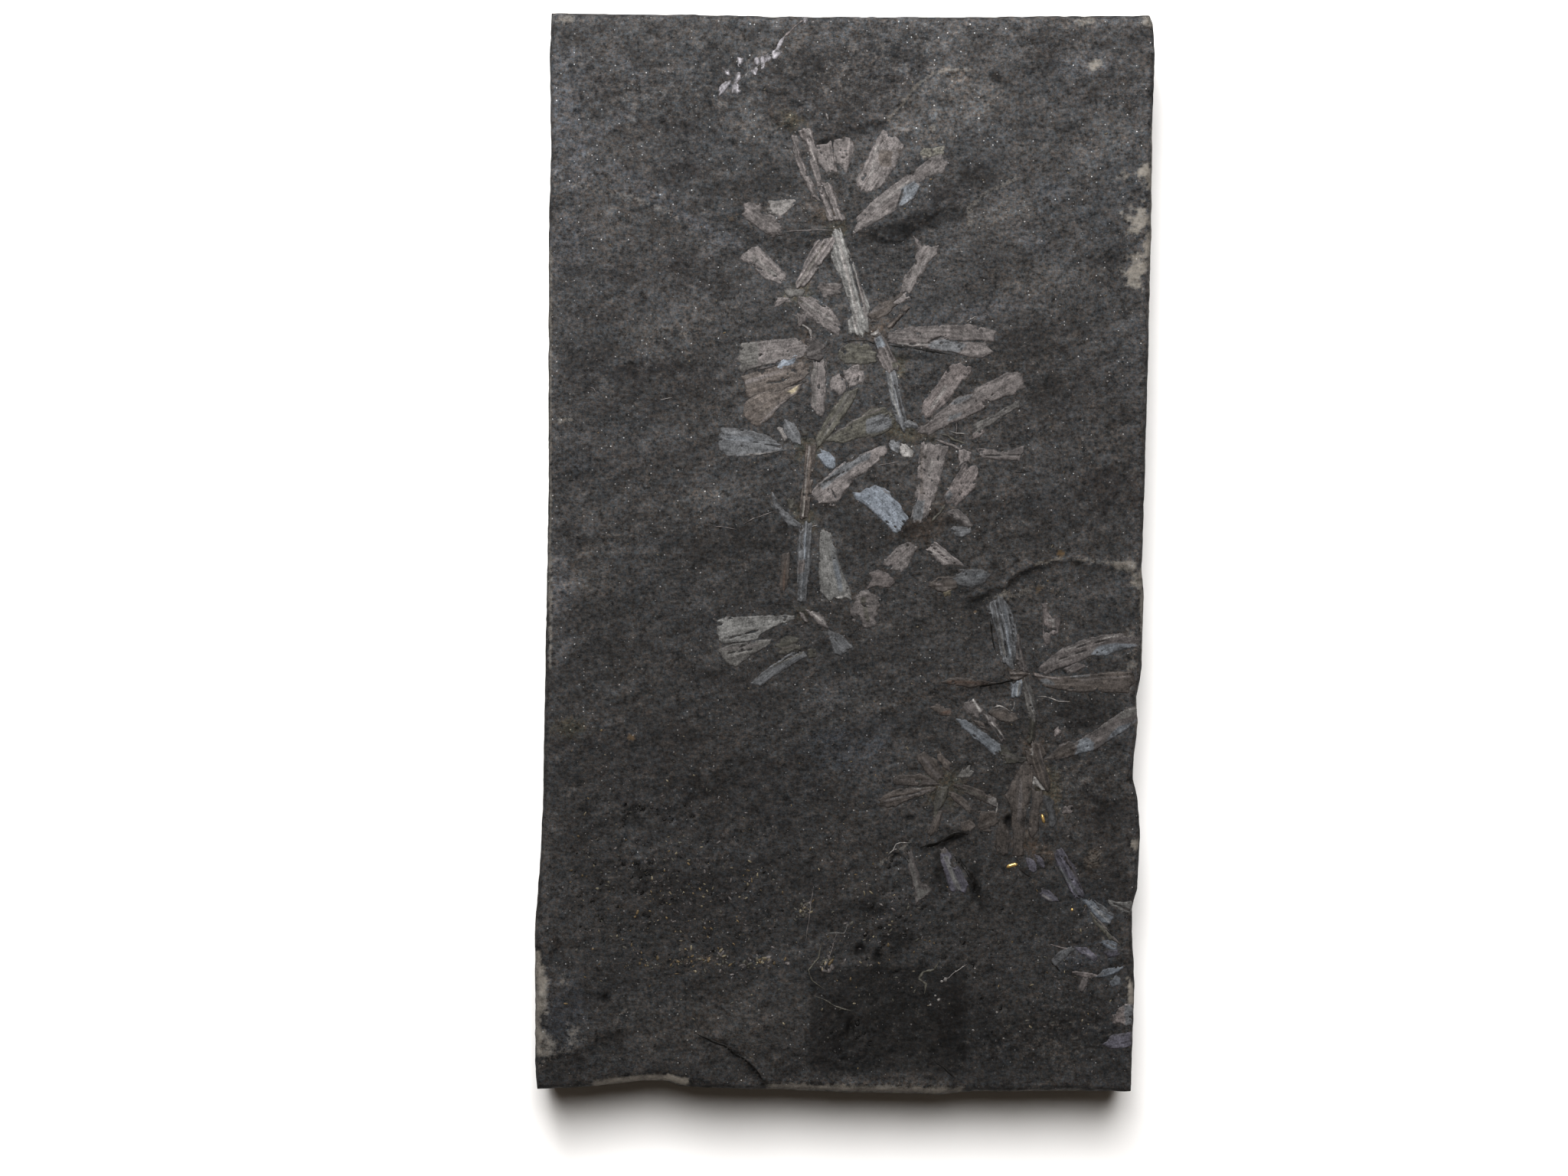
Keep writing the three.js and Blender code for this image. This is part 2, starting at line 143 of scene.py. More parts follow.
# Laminae that broke away along a ragged line: the line, its rise at each point, and the way back to
# where the stone behind the line sinks into the face
LAMINAE = [
    ([(-12.6, 60.5), (-10.3, 58.2), (-8.4, 56.6), (-3.6, 54.1), (1.2, 56), (5.7, 56.7), (9.6, 61.3)],
     [0.15, 0.2, 0.3, 0.3, 0.25, 0.3, 0.25], (0, 12)),
    ([(9.2, 61.1), (12.1, 63), (15.9, 63.2), (20.6, 62.6), (24.5, 60.5)],
     [0.2, 0.2, 0.15, 0.2, 0.1], (1, 9)),
    ([(0.8, 42.2), (4.6, 41), (7.3, 40.9), (9.2, 42.2), (12.7, 45.4), (16.4, 47), (20.2, 49.2)],
     [0.1, 0.35, 0.35, 0.2, 0.25, 0.25, 0.1], (0, 7)),
    ([(-17.5, 44.6), (-11.2, 41.8), (-6.9, 41), (-2.4, 42.1)], [0.1, 0.2, 0.2, 0.1], (-1, 7)),
    ([(15.5, -6.2), (18.6, -5.3), (24.5, -1.7), (28.3, -0.7), (36.9, -1.4), (39.6, -4.2)],
     [0.1, 0.35, 0.4, 0.3, 0.35, 0.4], (0, 9)),
    ([(1.8, -23.2), (4.6, -21), (7.3, -19.8), (12.7, -17.7), (21.8, -16.6)],
     [0.1, 0.14, 0.16, 0.2, 0.3], (-2, 6)),
    ([(-5.8, -30.1), (-6.9, -27.9), (-6.3, -25.2), (-3.6, -22.5), (1.8, -19.3)], [0.12] * 5, (-5, 3)),
    ([(9.6, -38.3), (13.2, -37.7), (14.7, -36.6), (17, -36.2)], [0.3, 0.45, 0.4, 0.2], (-0.5, 4)),
    ([(14.5, -39.4), (15.5, -40.7), (16.7, -42.7), (16.9, -44.2)], [0.3, 0.35, 0.35, 0.2], (-4, -0.6)),
    ([(-19.3, -63), (-15.5, -63.8), (-12.3, -66.8), (-9.9, -69.8)], [0.1, 0.35, 0.4, 0.4], (5, 4)),
    ([(-36.6, -65.5), (-31.7, -63.3), (-27.9, -61.9)], [0.14, 0.2, 0.14], (-1, 4)),
    ([(-40.2, -66), (-37.2, -65), (-34.2, -64.3)], [0.2, 0.2, 0.14], (-1, 4)),
    ([(-31.2, 49.2), (-25.8, 47), (-23.1, 45.4), (-19.8, 43.8)], [0.1] * 4, (1, 5)),
    ([(-38.1, 61.6), (-27.4, 61.6)], [0.08] * 2, (0, 4)),
    ([(-20.9, 32.5), (-15.5, 32.2), (-12.8, 33)], [0.1] * 3, (0, 4)),
    ([(16.3, 43.3), (16.2, 45.4), (18.1, 47), (22.4, 49.2)], [0.12] * 4, (-3, 3)),
    ([(-36, 2), (-26, 2.6), (-18, 4), (-8.9, 6.4)], [0.09] * 4, (-1, 5)),
    ([(-39, 30), (-30, 33), (-22, 33.5)], [0.08] * 3, (-1, 5)),
]

# Pits, as place, half width, half height and depth
PITS = [
    (-31.2, -58.2, 0.5, 0.9, 0.5),
    (21.4, -35.1, 0.55, 1.1, 0.6),
    (6.8, -39.5, 0.8, 0.5, 0.4),
    (8.5, -34.6, 0.7, 0.5, 0.3),
    (13.4, -36.1, 0.8, 0.35, 0.3),
    (2, -51.9, 0.9, 0.9, 0.4),
    (4.3, -52.6, 0.6, 0.9, 0.35),
    (0.8, -61.9, 0.6, 1.3, 0.35),
    (0, -66.1, 0.5, 0.5, 0.35),
    (17.2, -44.3, 0.8, 1.6, 0.3),
]

# Fields of small black pits, as a box and how many lie in it
PIT_FIELDS = [
    ((-29, -35.5, -19.7, -32.7), 26),
    ((-29, -42.4, -25.1, -39.7), 14),
    ((1.2, -55, 8.3, -44), 26),
    ((-4, -66.8, 3.5, -60.7), 14),
    ((5.6, -41.2, 7.7, -39.8), 5),
    ((-36, -53, -8, -37), 70),
    ((10, -64, 22, -46), 18),
]
PIT_SIZES = (0.12, 0.36)

# Pale dust and stains on the stone, as place, half width, half height, turn in degrees and strength
DUST = [
    (-36.6, 17.4, 0.8, 0.6, 0, 0.34),
    (-38, 15.4, 0.7, 0.4, 0, 0.25),
    (-36.6, 69.9, 1.6, 0.8, 0, 0.35),
    (31.3, 69.8, 1.4, 0.8, 0, 0.35),
    (39.9, 69.4, 0.9, 1.1, 0, 0.55),
    (32.6, 64, 0.7, 0.8, 0, 0.6),
    (10.6, 52.5, 0.6, 0.5, 0, 0.6),
    (12, 52.8, 0.5, 0.5, 0, 0.5),
    (11.4, 55.8, 0.6, 0.6, 0, 0.45),
    (39.3, 49.8, 1.2, 1.8, 0, 0.75),
    (36.5, 49.4, 0.9, 0.6, 0, 0.55),
    (38.7, 43.6, 1.9, 1.9, 0, 0.7),
    (39.7, 40.9, 0.8, 1.8, 0, 0.75),
    (38.2, 37, 2.2, 1.9, 0, 0.62),
    (-39.7, -58, 0.8, 4.6, 2, 0.5),
    (-39, -64.3, 1.3, 1.6, 0, 0.34),
    (-35.5, -62.6, 1, 1.3, 20, 0.3),
    (-36.7, -55.2, 0.3, 1.6, -20, 0.3),
    (36.2, -1.5, 1.8, 0.7, -5, 0.45),
    (38.4, -3.4, 0.8, 1.5, 30, 0.5),
    (23, -5.2, 2.4, 0.5, 25, 0.25),
    (20, -5.5, 1.6, 0.5, 20, 0.32),
    (37.7, -12.7, 0.9, 3, 0, 0.25),
    (37.9, -38.4, 0.5, 1.2, 0, 0.7),
    (37.5, -57.6, 0.6, 1.8, 12, 0.8),
    (29.5, -30, 7, 3, 20, 0.08),
    (32.8, -39.7, 1, 1.8, 0, 0.22),
    (27, -62, 9, 5, 10, 0.07),
    (-20, 60, 12, 5, 10, 0.06),
    (3, 64, 12, 5, 10, 0.09),
]

# Ochre and brown stains, as place, half width, half height and strength
RUST = [
    (-7.3, 56.4, 0.8, 0.7, 0.12),
    (-15, 44, 1.6, 0.6, 0.4),
    (28.2, 0.1, 0.45, 0.45, 0.9),
    (25.2, -4.6, 0.7, 0.5, 0.5),
    (27.4, -4.9, 1.1, 0.6, 0.35),
    (-27.8, -24, 0.5, 0.5, 0.7),
    (17, -7.4, 0.4, 0.4, 0.7),
    (24.8, -43, 0.5, 0.5, 0.5),
    (-20, -53.2, 7, 0.9, 0.25),
]

# Hues of stained and split stone and of painted shadow, as what its colour is multiplied by
HUES = {
    "brown": (1.3, 1.14, 1),
    "olive": (1.22, 1.16, 0.95),
    "blue": (1.1, 1.16, 1.25),
    "black": (0.5, 0.5, 0.5),
    "pale": (1.36, 1.34, 1.31),
    "haze": (1.28, 1.295, 1.33),
    "scar": (1.5, 1.48, 1.45),
    "shade": (0.76, 0.75, 0.75),
    "dusk": (0.64, 0.62, 0.62),
}
# Stained stone, and painted shadow along torn steps, by hue: place, half width, half height and turn in
# degrees
STAINS = {
    "brown": [
        (-2.6, 44.5, 2.2, 1.6, 0), (3.4, 29.6, 2.2, 1.6, 0), (10.2, 3.6, 3.4, 2.6, 10),
        (-5.2, 26.4, 1.4, 3, 0), (22.6, -15.9, 1.8, 1.4, 0), (24.8, -25.4, 1.9, 2.6, 0),
        (25, -38.6, 3.4, 1.6, -30), (32.6, -40, 1.2, 2.4, 0),
    ],
    "olive": [
        (-7.2, 56.8, 1.9, 1.2, -30), (-1.2, 42.8, 1.6, 1.6, 0), (6.6, 25, 1.4, 1.8, 0),
        (7.6, 15.8, 3.4, 1.5, -10), (-6.2, 34, 2, 1.6, 0), (-4.8, 14, 1.6, 2, 0), (-5.2, 4.8, 1.8, 2, 0),
        (-5.8, -7.8, 1.4, 1.2, 0), (12.9, -30.4, 3, 2.4, 0), (26.5, -31, 1.6, 3.6, 10),
        (-36, -22.8, 3, 1.4, 0),
    ],
    "blue": [(-37, -61, 3, 4, 0), (32.6, -46, 2.6, 2, -45), (31.6, -53, 3.6, 1.6, 0), (0, -25, 6, 2.6, 10)],
    # black patches along torn laminae are painted shadow below each step; the others darken pits and dark
    # spots
    "black": [
        (8.2, 25.8, 5, 0.5, -5), (12.4, -42, 1, 3, 0), (16.8, -41.8, 1, 2.2, -20), (13.5, 44, 6, 1.2, 20),
        (8, 43.4, 4, 1, 25), (-2.5, 53.9, 1.8, 0.6, 0), (14, -36.9, 3.4, 0.9, 20), (17, -6.5, 3, 0.9, 25),
        (-10.6, 24, 3, 0.35, 12), (17, 49.6, 3.8, 2, 15), (6, 42.2, 3.4, 0.9, 8), (2.1, -51.9, 1.5, 1.3, 0),
        (4.5, -53.2, 1.2, 2, 0), (7, -50.4, 1.9, 1.4, 0), (3.6, -46, 1.8, 1.4, -30),
        (0.6, -61.8, 0.9, 1.7, -15), (0, -66, 0.9, 0.7, 0), (-3, -66.3, 1, 0.5, 0),
        (17.2, -44.2, 1.4, 2.4, 0), (-28, -34.4, 2.2, 1.2, 0), (-26.6, -41.8, 1.6, 1.4, 0),
        (21.4, -35.4, 0.8, 1.6, 0),
    ],
    "pale": [
        (21, 44, 6, 3, 20), (31, -31, 7, 3, 15), (-26, 67.4, 1.8, 1.6, 0), (-18.5, 67, 3.6, 1.6, 0),
        (-27, 29, 5, 1, 5), (-18, 7.3, 7.5, 1.4, 12), (-31, 1.2, 6, 1.3, 15), (35, 54, 4, 5, 0),
        (-33, -3, 4.5, 3, 0), (-16, -60.5, 12, 4, 8), (2, -69.4, 14, 1.3, 0), (-8, 66.5, 5, 1.6, 15),
        (28.5, -65.5, 2, 1, 0), (20.4, -60, 1.6, 1, 0), (4, -20.4, 9, 0.8, 15), (24, 53, 3.6, 1, 0),
        (26.5, 36, 6, 2.4, 10), (-12, 57, 4, 3, 0),
    ],
    "haze": [
        (-12.4, 63.4, 4.6, 0.55, 42), (-36.5, 58, 2.6, 8, 0), (-35, 50, 4, 3, 0), (-36.5, 41, 2.6, 6, 0),
        (-25.5, 47.2, 7, 1.5, -32), (-28, 63.3, 3.6, 1.1, -45), (-31.5, 55.5, 4.4, 1, 30),
        (-16, 41.5, 7, 1, -25), (27.5, 47.2, 1.8, 1.4, 0), (20.4, 47, 2.4, 1.2, 30), (-37, -6, 2, 8, 0),
        (-36, -57, 3, 3.6, 0), (18, 31.8, 9, 1.4, 12), (32, 64, 4, 1.6, 0), (25, 41, 4, 1.2, -30),
    ],
    "shade": [
        (-32, 60.6, 4, 2.4, 0), (-24, 49.6, 5, 1.5, -15), (-13, 48.4, 6, 1, 0), (-29, 36.4, 5, 1.7, 0),
        (-33, 31, 4, 1.4, 0), (-17, 35, 5, 1.3, 0), (-34, 25, 5, 3.6, 0), (-22, 22, 12, 3.8, 5),
        (27, 65, 3, 2.4, 0), (31, 60.3, 3, 1.4, 0), (22.5, 43.4, 1.9, 1.2, 0), (33, 38.4, 5, 1.2, 0),
        (27, 20, 12, 5, 8), (26, 5.5, 10, 3.4, 5), (-30, 11.8, 9, 2.4, 8), (-15, 1.4, 10, 2, 8),
        (2.6, 2.2, 4, 1.9, 0), (-16, -16.6, 10, 1.7, -20), (-36, -24.7, 4, 1, 0), (35, -42, 3.4, 6, 0),
        (30, -21, 6, 2, 0), (33, -34, 4, 5, 0), (-3.5, 64, 2, 1.6, 0), (18.6, -60, 2.4, 7, 10),
        (-14, -32, 14, 5, 5), (-24, -27, 13, 6, 5), (-16, -44, 16, 5, 0), (28, -62.5, 8, 2.5, 10),
        (-20, 55.6, 6, 2, -10), (23.5, 27.6, 5, 2.4, 0),
    ],
    "dusk": [
        (-20.4, 50.4, 3.4, 1.6, -10), (-21, 38, 3.4, 1.8, 0), (34.5, 8.6, 5, 3.6, 0),
        (-3.6, 6.6, 3.4, 0.9, 0), (9.8, 3.4, 4.4, 1.9, 10), (14.2, -61.5, 2.4, 6.4, 0),
        (-1.4, -63, 3.4, 4.4, 0), (-25, 24, 6, 1.2, 8), (12.6, 47, 3.4, 1.2, 20),
    ],
}

# Areas of the face that split along another layer, as an outline, a hue and how softly they end; the last is
# painted shade along a torn step
AREAS = [
    ([(5.6, 56.5), (7.6, 58.6), (9.6, 61.2), (12, 63), (15.9, 63.4), (18.6, 62.6), (21.4, 60.6), (19, 57.6),
      (15.4, 55.2), (13, 53), (9.6, 54.2), (6.8, 55.2)], "scar", 0.35),
    ([(-12.4, 60.4), (-8.4, 56.5), (-5.8, 55.6), (-3.8, 53.9), (0.8, 54.9), (5, 55.8), (8.6, 60.8),
      (11.6, 63.8), (9, 67), (-6, 66)], "shade", 1.4),
    # painted shade along the rim of a shallow hollow behind a torn step
    ([(8.8, 44.2), (11.4, 47), (13.6, 49.6), (17.6, 51), (20.4, 49), (16.6, 46.8), (13, 45), (9.2, 42),
      (6, 41.2), (4.2, 42.6)], "shade", 0.8),
]

# Pale lines and chipped arrises, as points along the middle, half width and strength; the pale lines along
# torn laminae are painted light on the lit rim of each step
PALE_LINES = [
    ([(-32.4, -69.4), (-27, -68.8), (-23, -68.7), (-21, -69.2)], 0.6, 0.85),
    ([(-9.8, -69.8), (-2, -70), (7, -70.3), (15, -70.4)], 0.6, 0.6),
    ([(17, -70.5), (24, -70.4), (31, -70.4)], 0.25, 0.4),
    ([(-40.2, -65), (-40.3, -60), (-39.6, -56), (-40.2, -52.6)], 0.7, 0.6),
    ([(-40.2, -67), (-37.8, -65.4), (-35.6, -64.6), (-34.2, -63.4)], 0.5, 0.2),
    ([(38.9, -2), (39.1, -14)], 0.35, 0.6),
    ([(38.3, -19), (38.4, -23)], 0.35, 0.6),
    ([(40.1, 30), (40.4, 56)], 0.3, 0.5),
    ([(-38.6, -15), (-38.6, 40)], 0.25, 0.45),
    ([(-40.4, 64), (-39.9, 50)], 0.2, 0.35),
    # the pale lines from here down to the one that ends at the right edge are painted light on the lit rims
    # of torn laminae
    ([(-38.8, 49.6), (-33, 47.6), (-27, 46.4), (-22, 44.2)], 0.4, 0.2),
    ([(-38.1, 61.6), (-27.4, 61.6)], 0.25, 0.1),
    ([(-26, 27.6), (-20.5, 29), (-16.5, 31), (-13.8, 32.6)], 0.3, 0.16),
    ([(-36, 2.2), (-26, 2.8), (-17, 3.8), (-9, 5.6)], 0.3, 0.12),
    ([(5.6, 56.8), (7.6, 59), (9.4, 61.3), (11.6, 62.9), (13.6, 63.4), (16.4, 63.4)], 0.22, 0.38),
    ([(16.2, 43), (16.3, 45.4), (18.1, 47), (22.4, 49.2)], 0.35, 0.3),
    ([(24.9, -1.4), (28.3, -0.5)], 0.2, 0.4),
    ([(30, -0.6), (33, -0.9), (36.9, -1.3)], 0.25, 0.26),
    ([(36.9, -1.3), (38.6, -4.6)], 0.3, 0.42),
    ([(8.7, -37.6), (7.2, -38.7), (4.6, -40.5)], 0.2, 0.3),
    ([(-37.6, -54), (-36.2, -56.4)], 0.15, 0.3),
    ([(-29.4, -62.4), (-29.9, -60.6), (-28.6, -59.6)], 0.15, 0.25),
]

# Darker stretches of the face, as a soft-sided box and how much of the light is lost
DARKER = [((-4.5, -67.7, 15.9, -54), 0.42)]

# How many of the pale lines, from the first on, are chips of the face's edge
CHIPPED = 8

# Tan flecks in the face, as a box, how many lie in it and their half size
FLECK_FIELDS = [
    ((-38, -57, -6, -32.5), 380, 0.15),
    ((-27, -54.6, -8, -52.2), 70, 0.2),
    ((-12.8, -53.9, -9.4, -52.7), 22, 0.24),
    ((-6, -60, 12, -38), 150, 0.15),
    ((-6.1, -47.6, -4.2, -45), 20, 0.26),
    ((-2.8, -54.6, -1.1, -52), 18, 0.26),
    ((20, -66, 37, -46), 90, 0.14),
    ((-38, 20, 38, 69), 180, 0.1),
    ((-38, -66, 38, 20), 320, 0.1),
]


def patch(tint, *outline):
    """A patch of another tint inside a film."""
    return ("patch", tint, outline)


def crack(width, *line):
    """A dark crack through a film."""
    return ("crack", width, line)


def streak(tint, width, *line):
    """A streak or margin of another tint."""
    return ("streak", width, line, tint)


def hole(x, y, radius):
    """A round gap in a film."""
    return ("hole", radius, ((x, y), (x + TINY, y)))


def film(tint, outline, *marks, wear=0.18, soft=0.3, light=1, calm=1, ribs=False, thick=LEAF_FILM):
    """One film: tint, outline in plan, marks, how worn and soft-edged it is, how light and how uneven."""
    film_data = {"tint": tint, "outline": outline, "marks": marks, "wear": wear, "soft": soft}
    film_data.update(light=light, calm=calm, ribs=ribs, thick=thick)
    return film_data


def stalk(tint, outline, *marks, wear=0.12, soft=0.3, light=1):
    """A ribbed length of stem."""
    return film(tint, outline, *marks, wear=wear, soft=soft, light=light, ribs=True, thick=STEM_FILM)


# Joints of the shoots, which the leaves fan out from
JOINTS = [
    (-1.3, 43), (3.7, 28.5), (7, 15.4), (9, 2.2), (-5.8, 34), (-5.5, 26), (-4.6, 14),
    (-4.9, 4.3), (-5.6, -7.8), (22.6, -15.7), (25, -26.9), (12.9, -30.3), (8.3, -38), (12.6, -37.8),
    (31.2, -45.2), (31.5, -55),
]

# The main shoot, down the middle of the plate: its stem, then its leaves
MAIN_STEMS = [
    stalk("tan", [(-6, 55.1), (-5.2, 55.6), (-4.4, 55.6), (-3.2, 48.6), (-1.9, 48.4), (0, 43.6),
        (-1.9, 43.6), (-3, 46.2), (-5, 53.6)], crack(0.14, (-3, 48.4), (-1.3, 44.2)),
        streak("light", 0.2, (-4.8, 55.2), (-3.9, 51)), wear=0.25, light=1.06),
    stalk("tan", [(-6.9, 54.4), (-6.3, 54.5), (-5.7, 51.7), (-3.5, 46.4), (-4.2, 46.6), (-6.3, 51.4)],
        wear=0.3, light=0.87),
    stalk("pale", [(-1.4, 42.7), (-0.7, 42.4), (1.4, 37.2), (3, 32.3), (2.9, 29.2), (2.4, 28.5),
        (0.5, 29.1), (0.5, 30.4), (1.2, 31.6), (0, 35), (-1.6, 38.7)],
        crack(0.13, (0.6, 38.6), (1.5, 35.4), (2.3, 32.3)),
        streak("tan", 0.5, (0.9, 39.4), (1.9, 35.6), (2.8, 31)),
        streak("light", 0.4, (-0.9, 41.4), (0.3, 36.6), (1.5, 32.4), (1.4, 29.6)), light=1.1),
    stalk("brown", [(3.9, 28.2), (4.7, 28.7), (5.4, 27.9), (6.1, 26.1), (7, 24.8), (6.6, 23.9), (5.6, 23.8),
        (4.4, 25.8)], patch("steel", (3.9, 28.2), (4.7, 28.7), (5.5, 27.2), (4.2, 26.8)),
        patch("olive", (6.2, 25), (7, 24.9), (6.7, 24.2), (6.2, 24.3)), light=1.15),
    stalk("slate", [(5.5, 23.7), (6.5, 24), (8.1, 16.8), (7.8, 16), (7, 17.1), (6.2, 19.9)],
        crack(0.14, (6.5, 22), (7.4, 18.8), (7.9, 17)),
        streak("pale", 0.25, (5.9, 23.4), (6.2, 20.8), (7, 18.2)), light=1.2),
    stalk("slate", [(7.9, 17.4), (8.9, 17.3), (9.6, 17), (9.6, 16.4), (7.8, 16.7)], light=1.6),
    stalk("light", [(3.6, 28.8), (4.4, 29.3), (4.7, 28.8), (4.1, 28.4)], light=1.25),
    stalk("dim", [(5.6, 29.6), (8, 32.3), (8.3, 32.1), (6, 29.5)], wear=0.45),
]

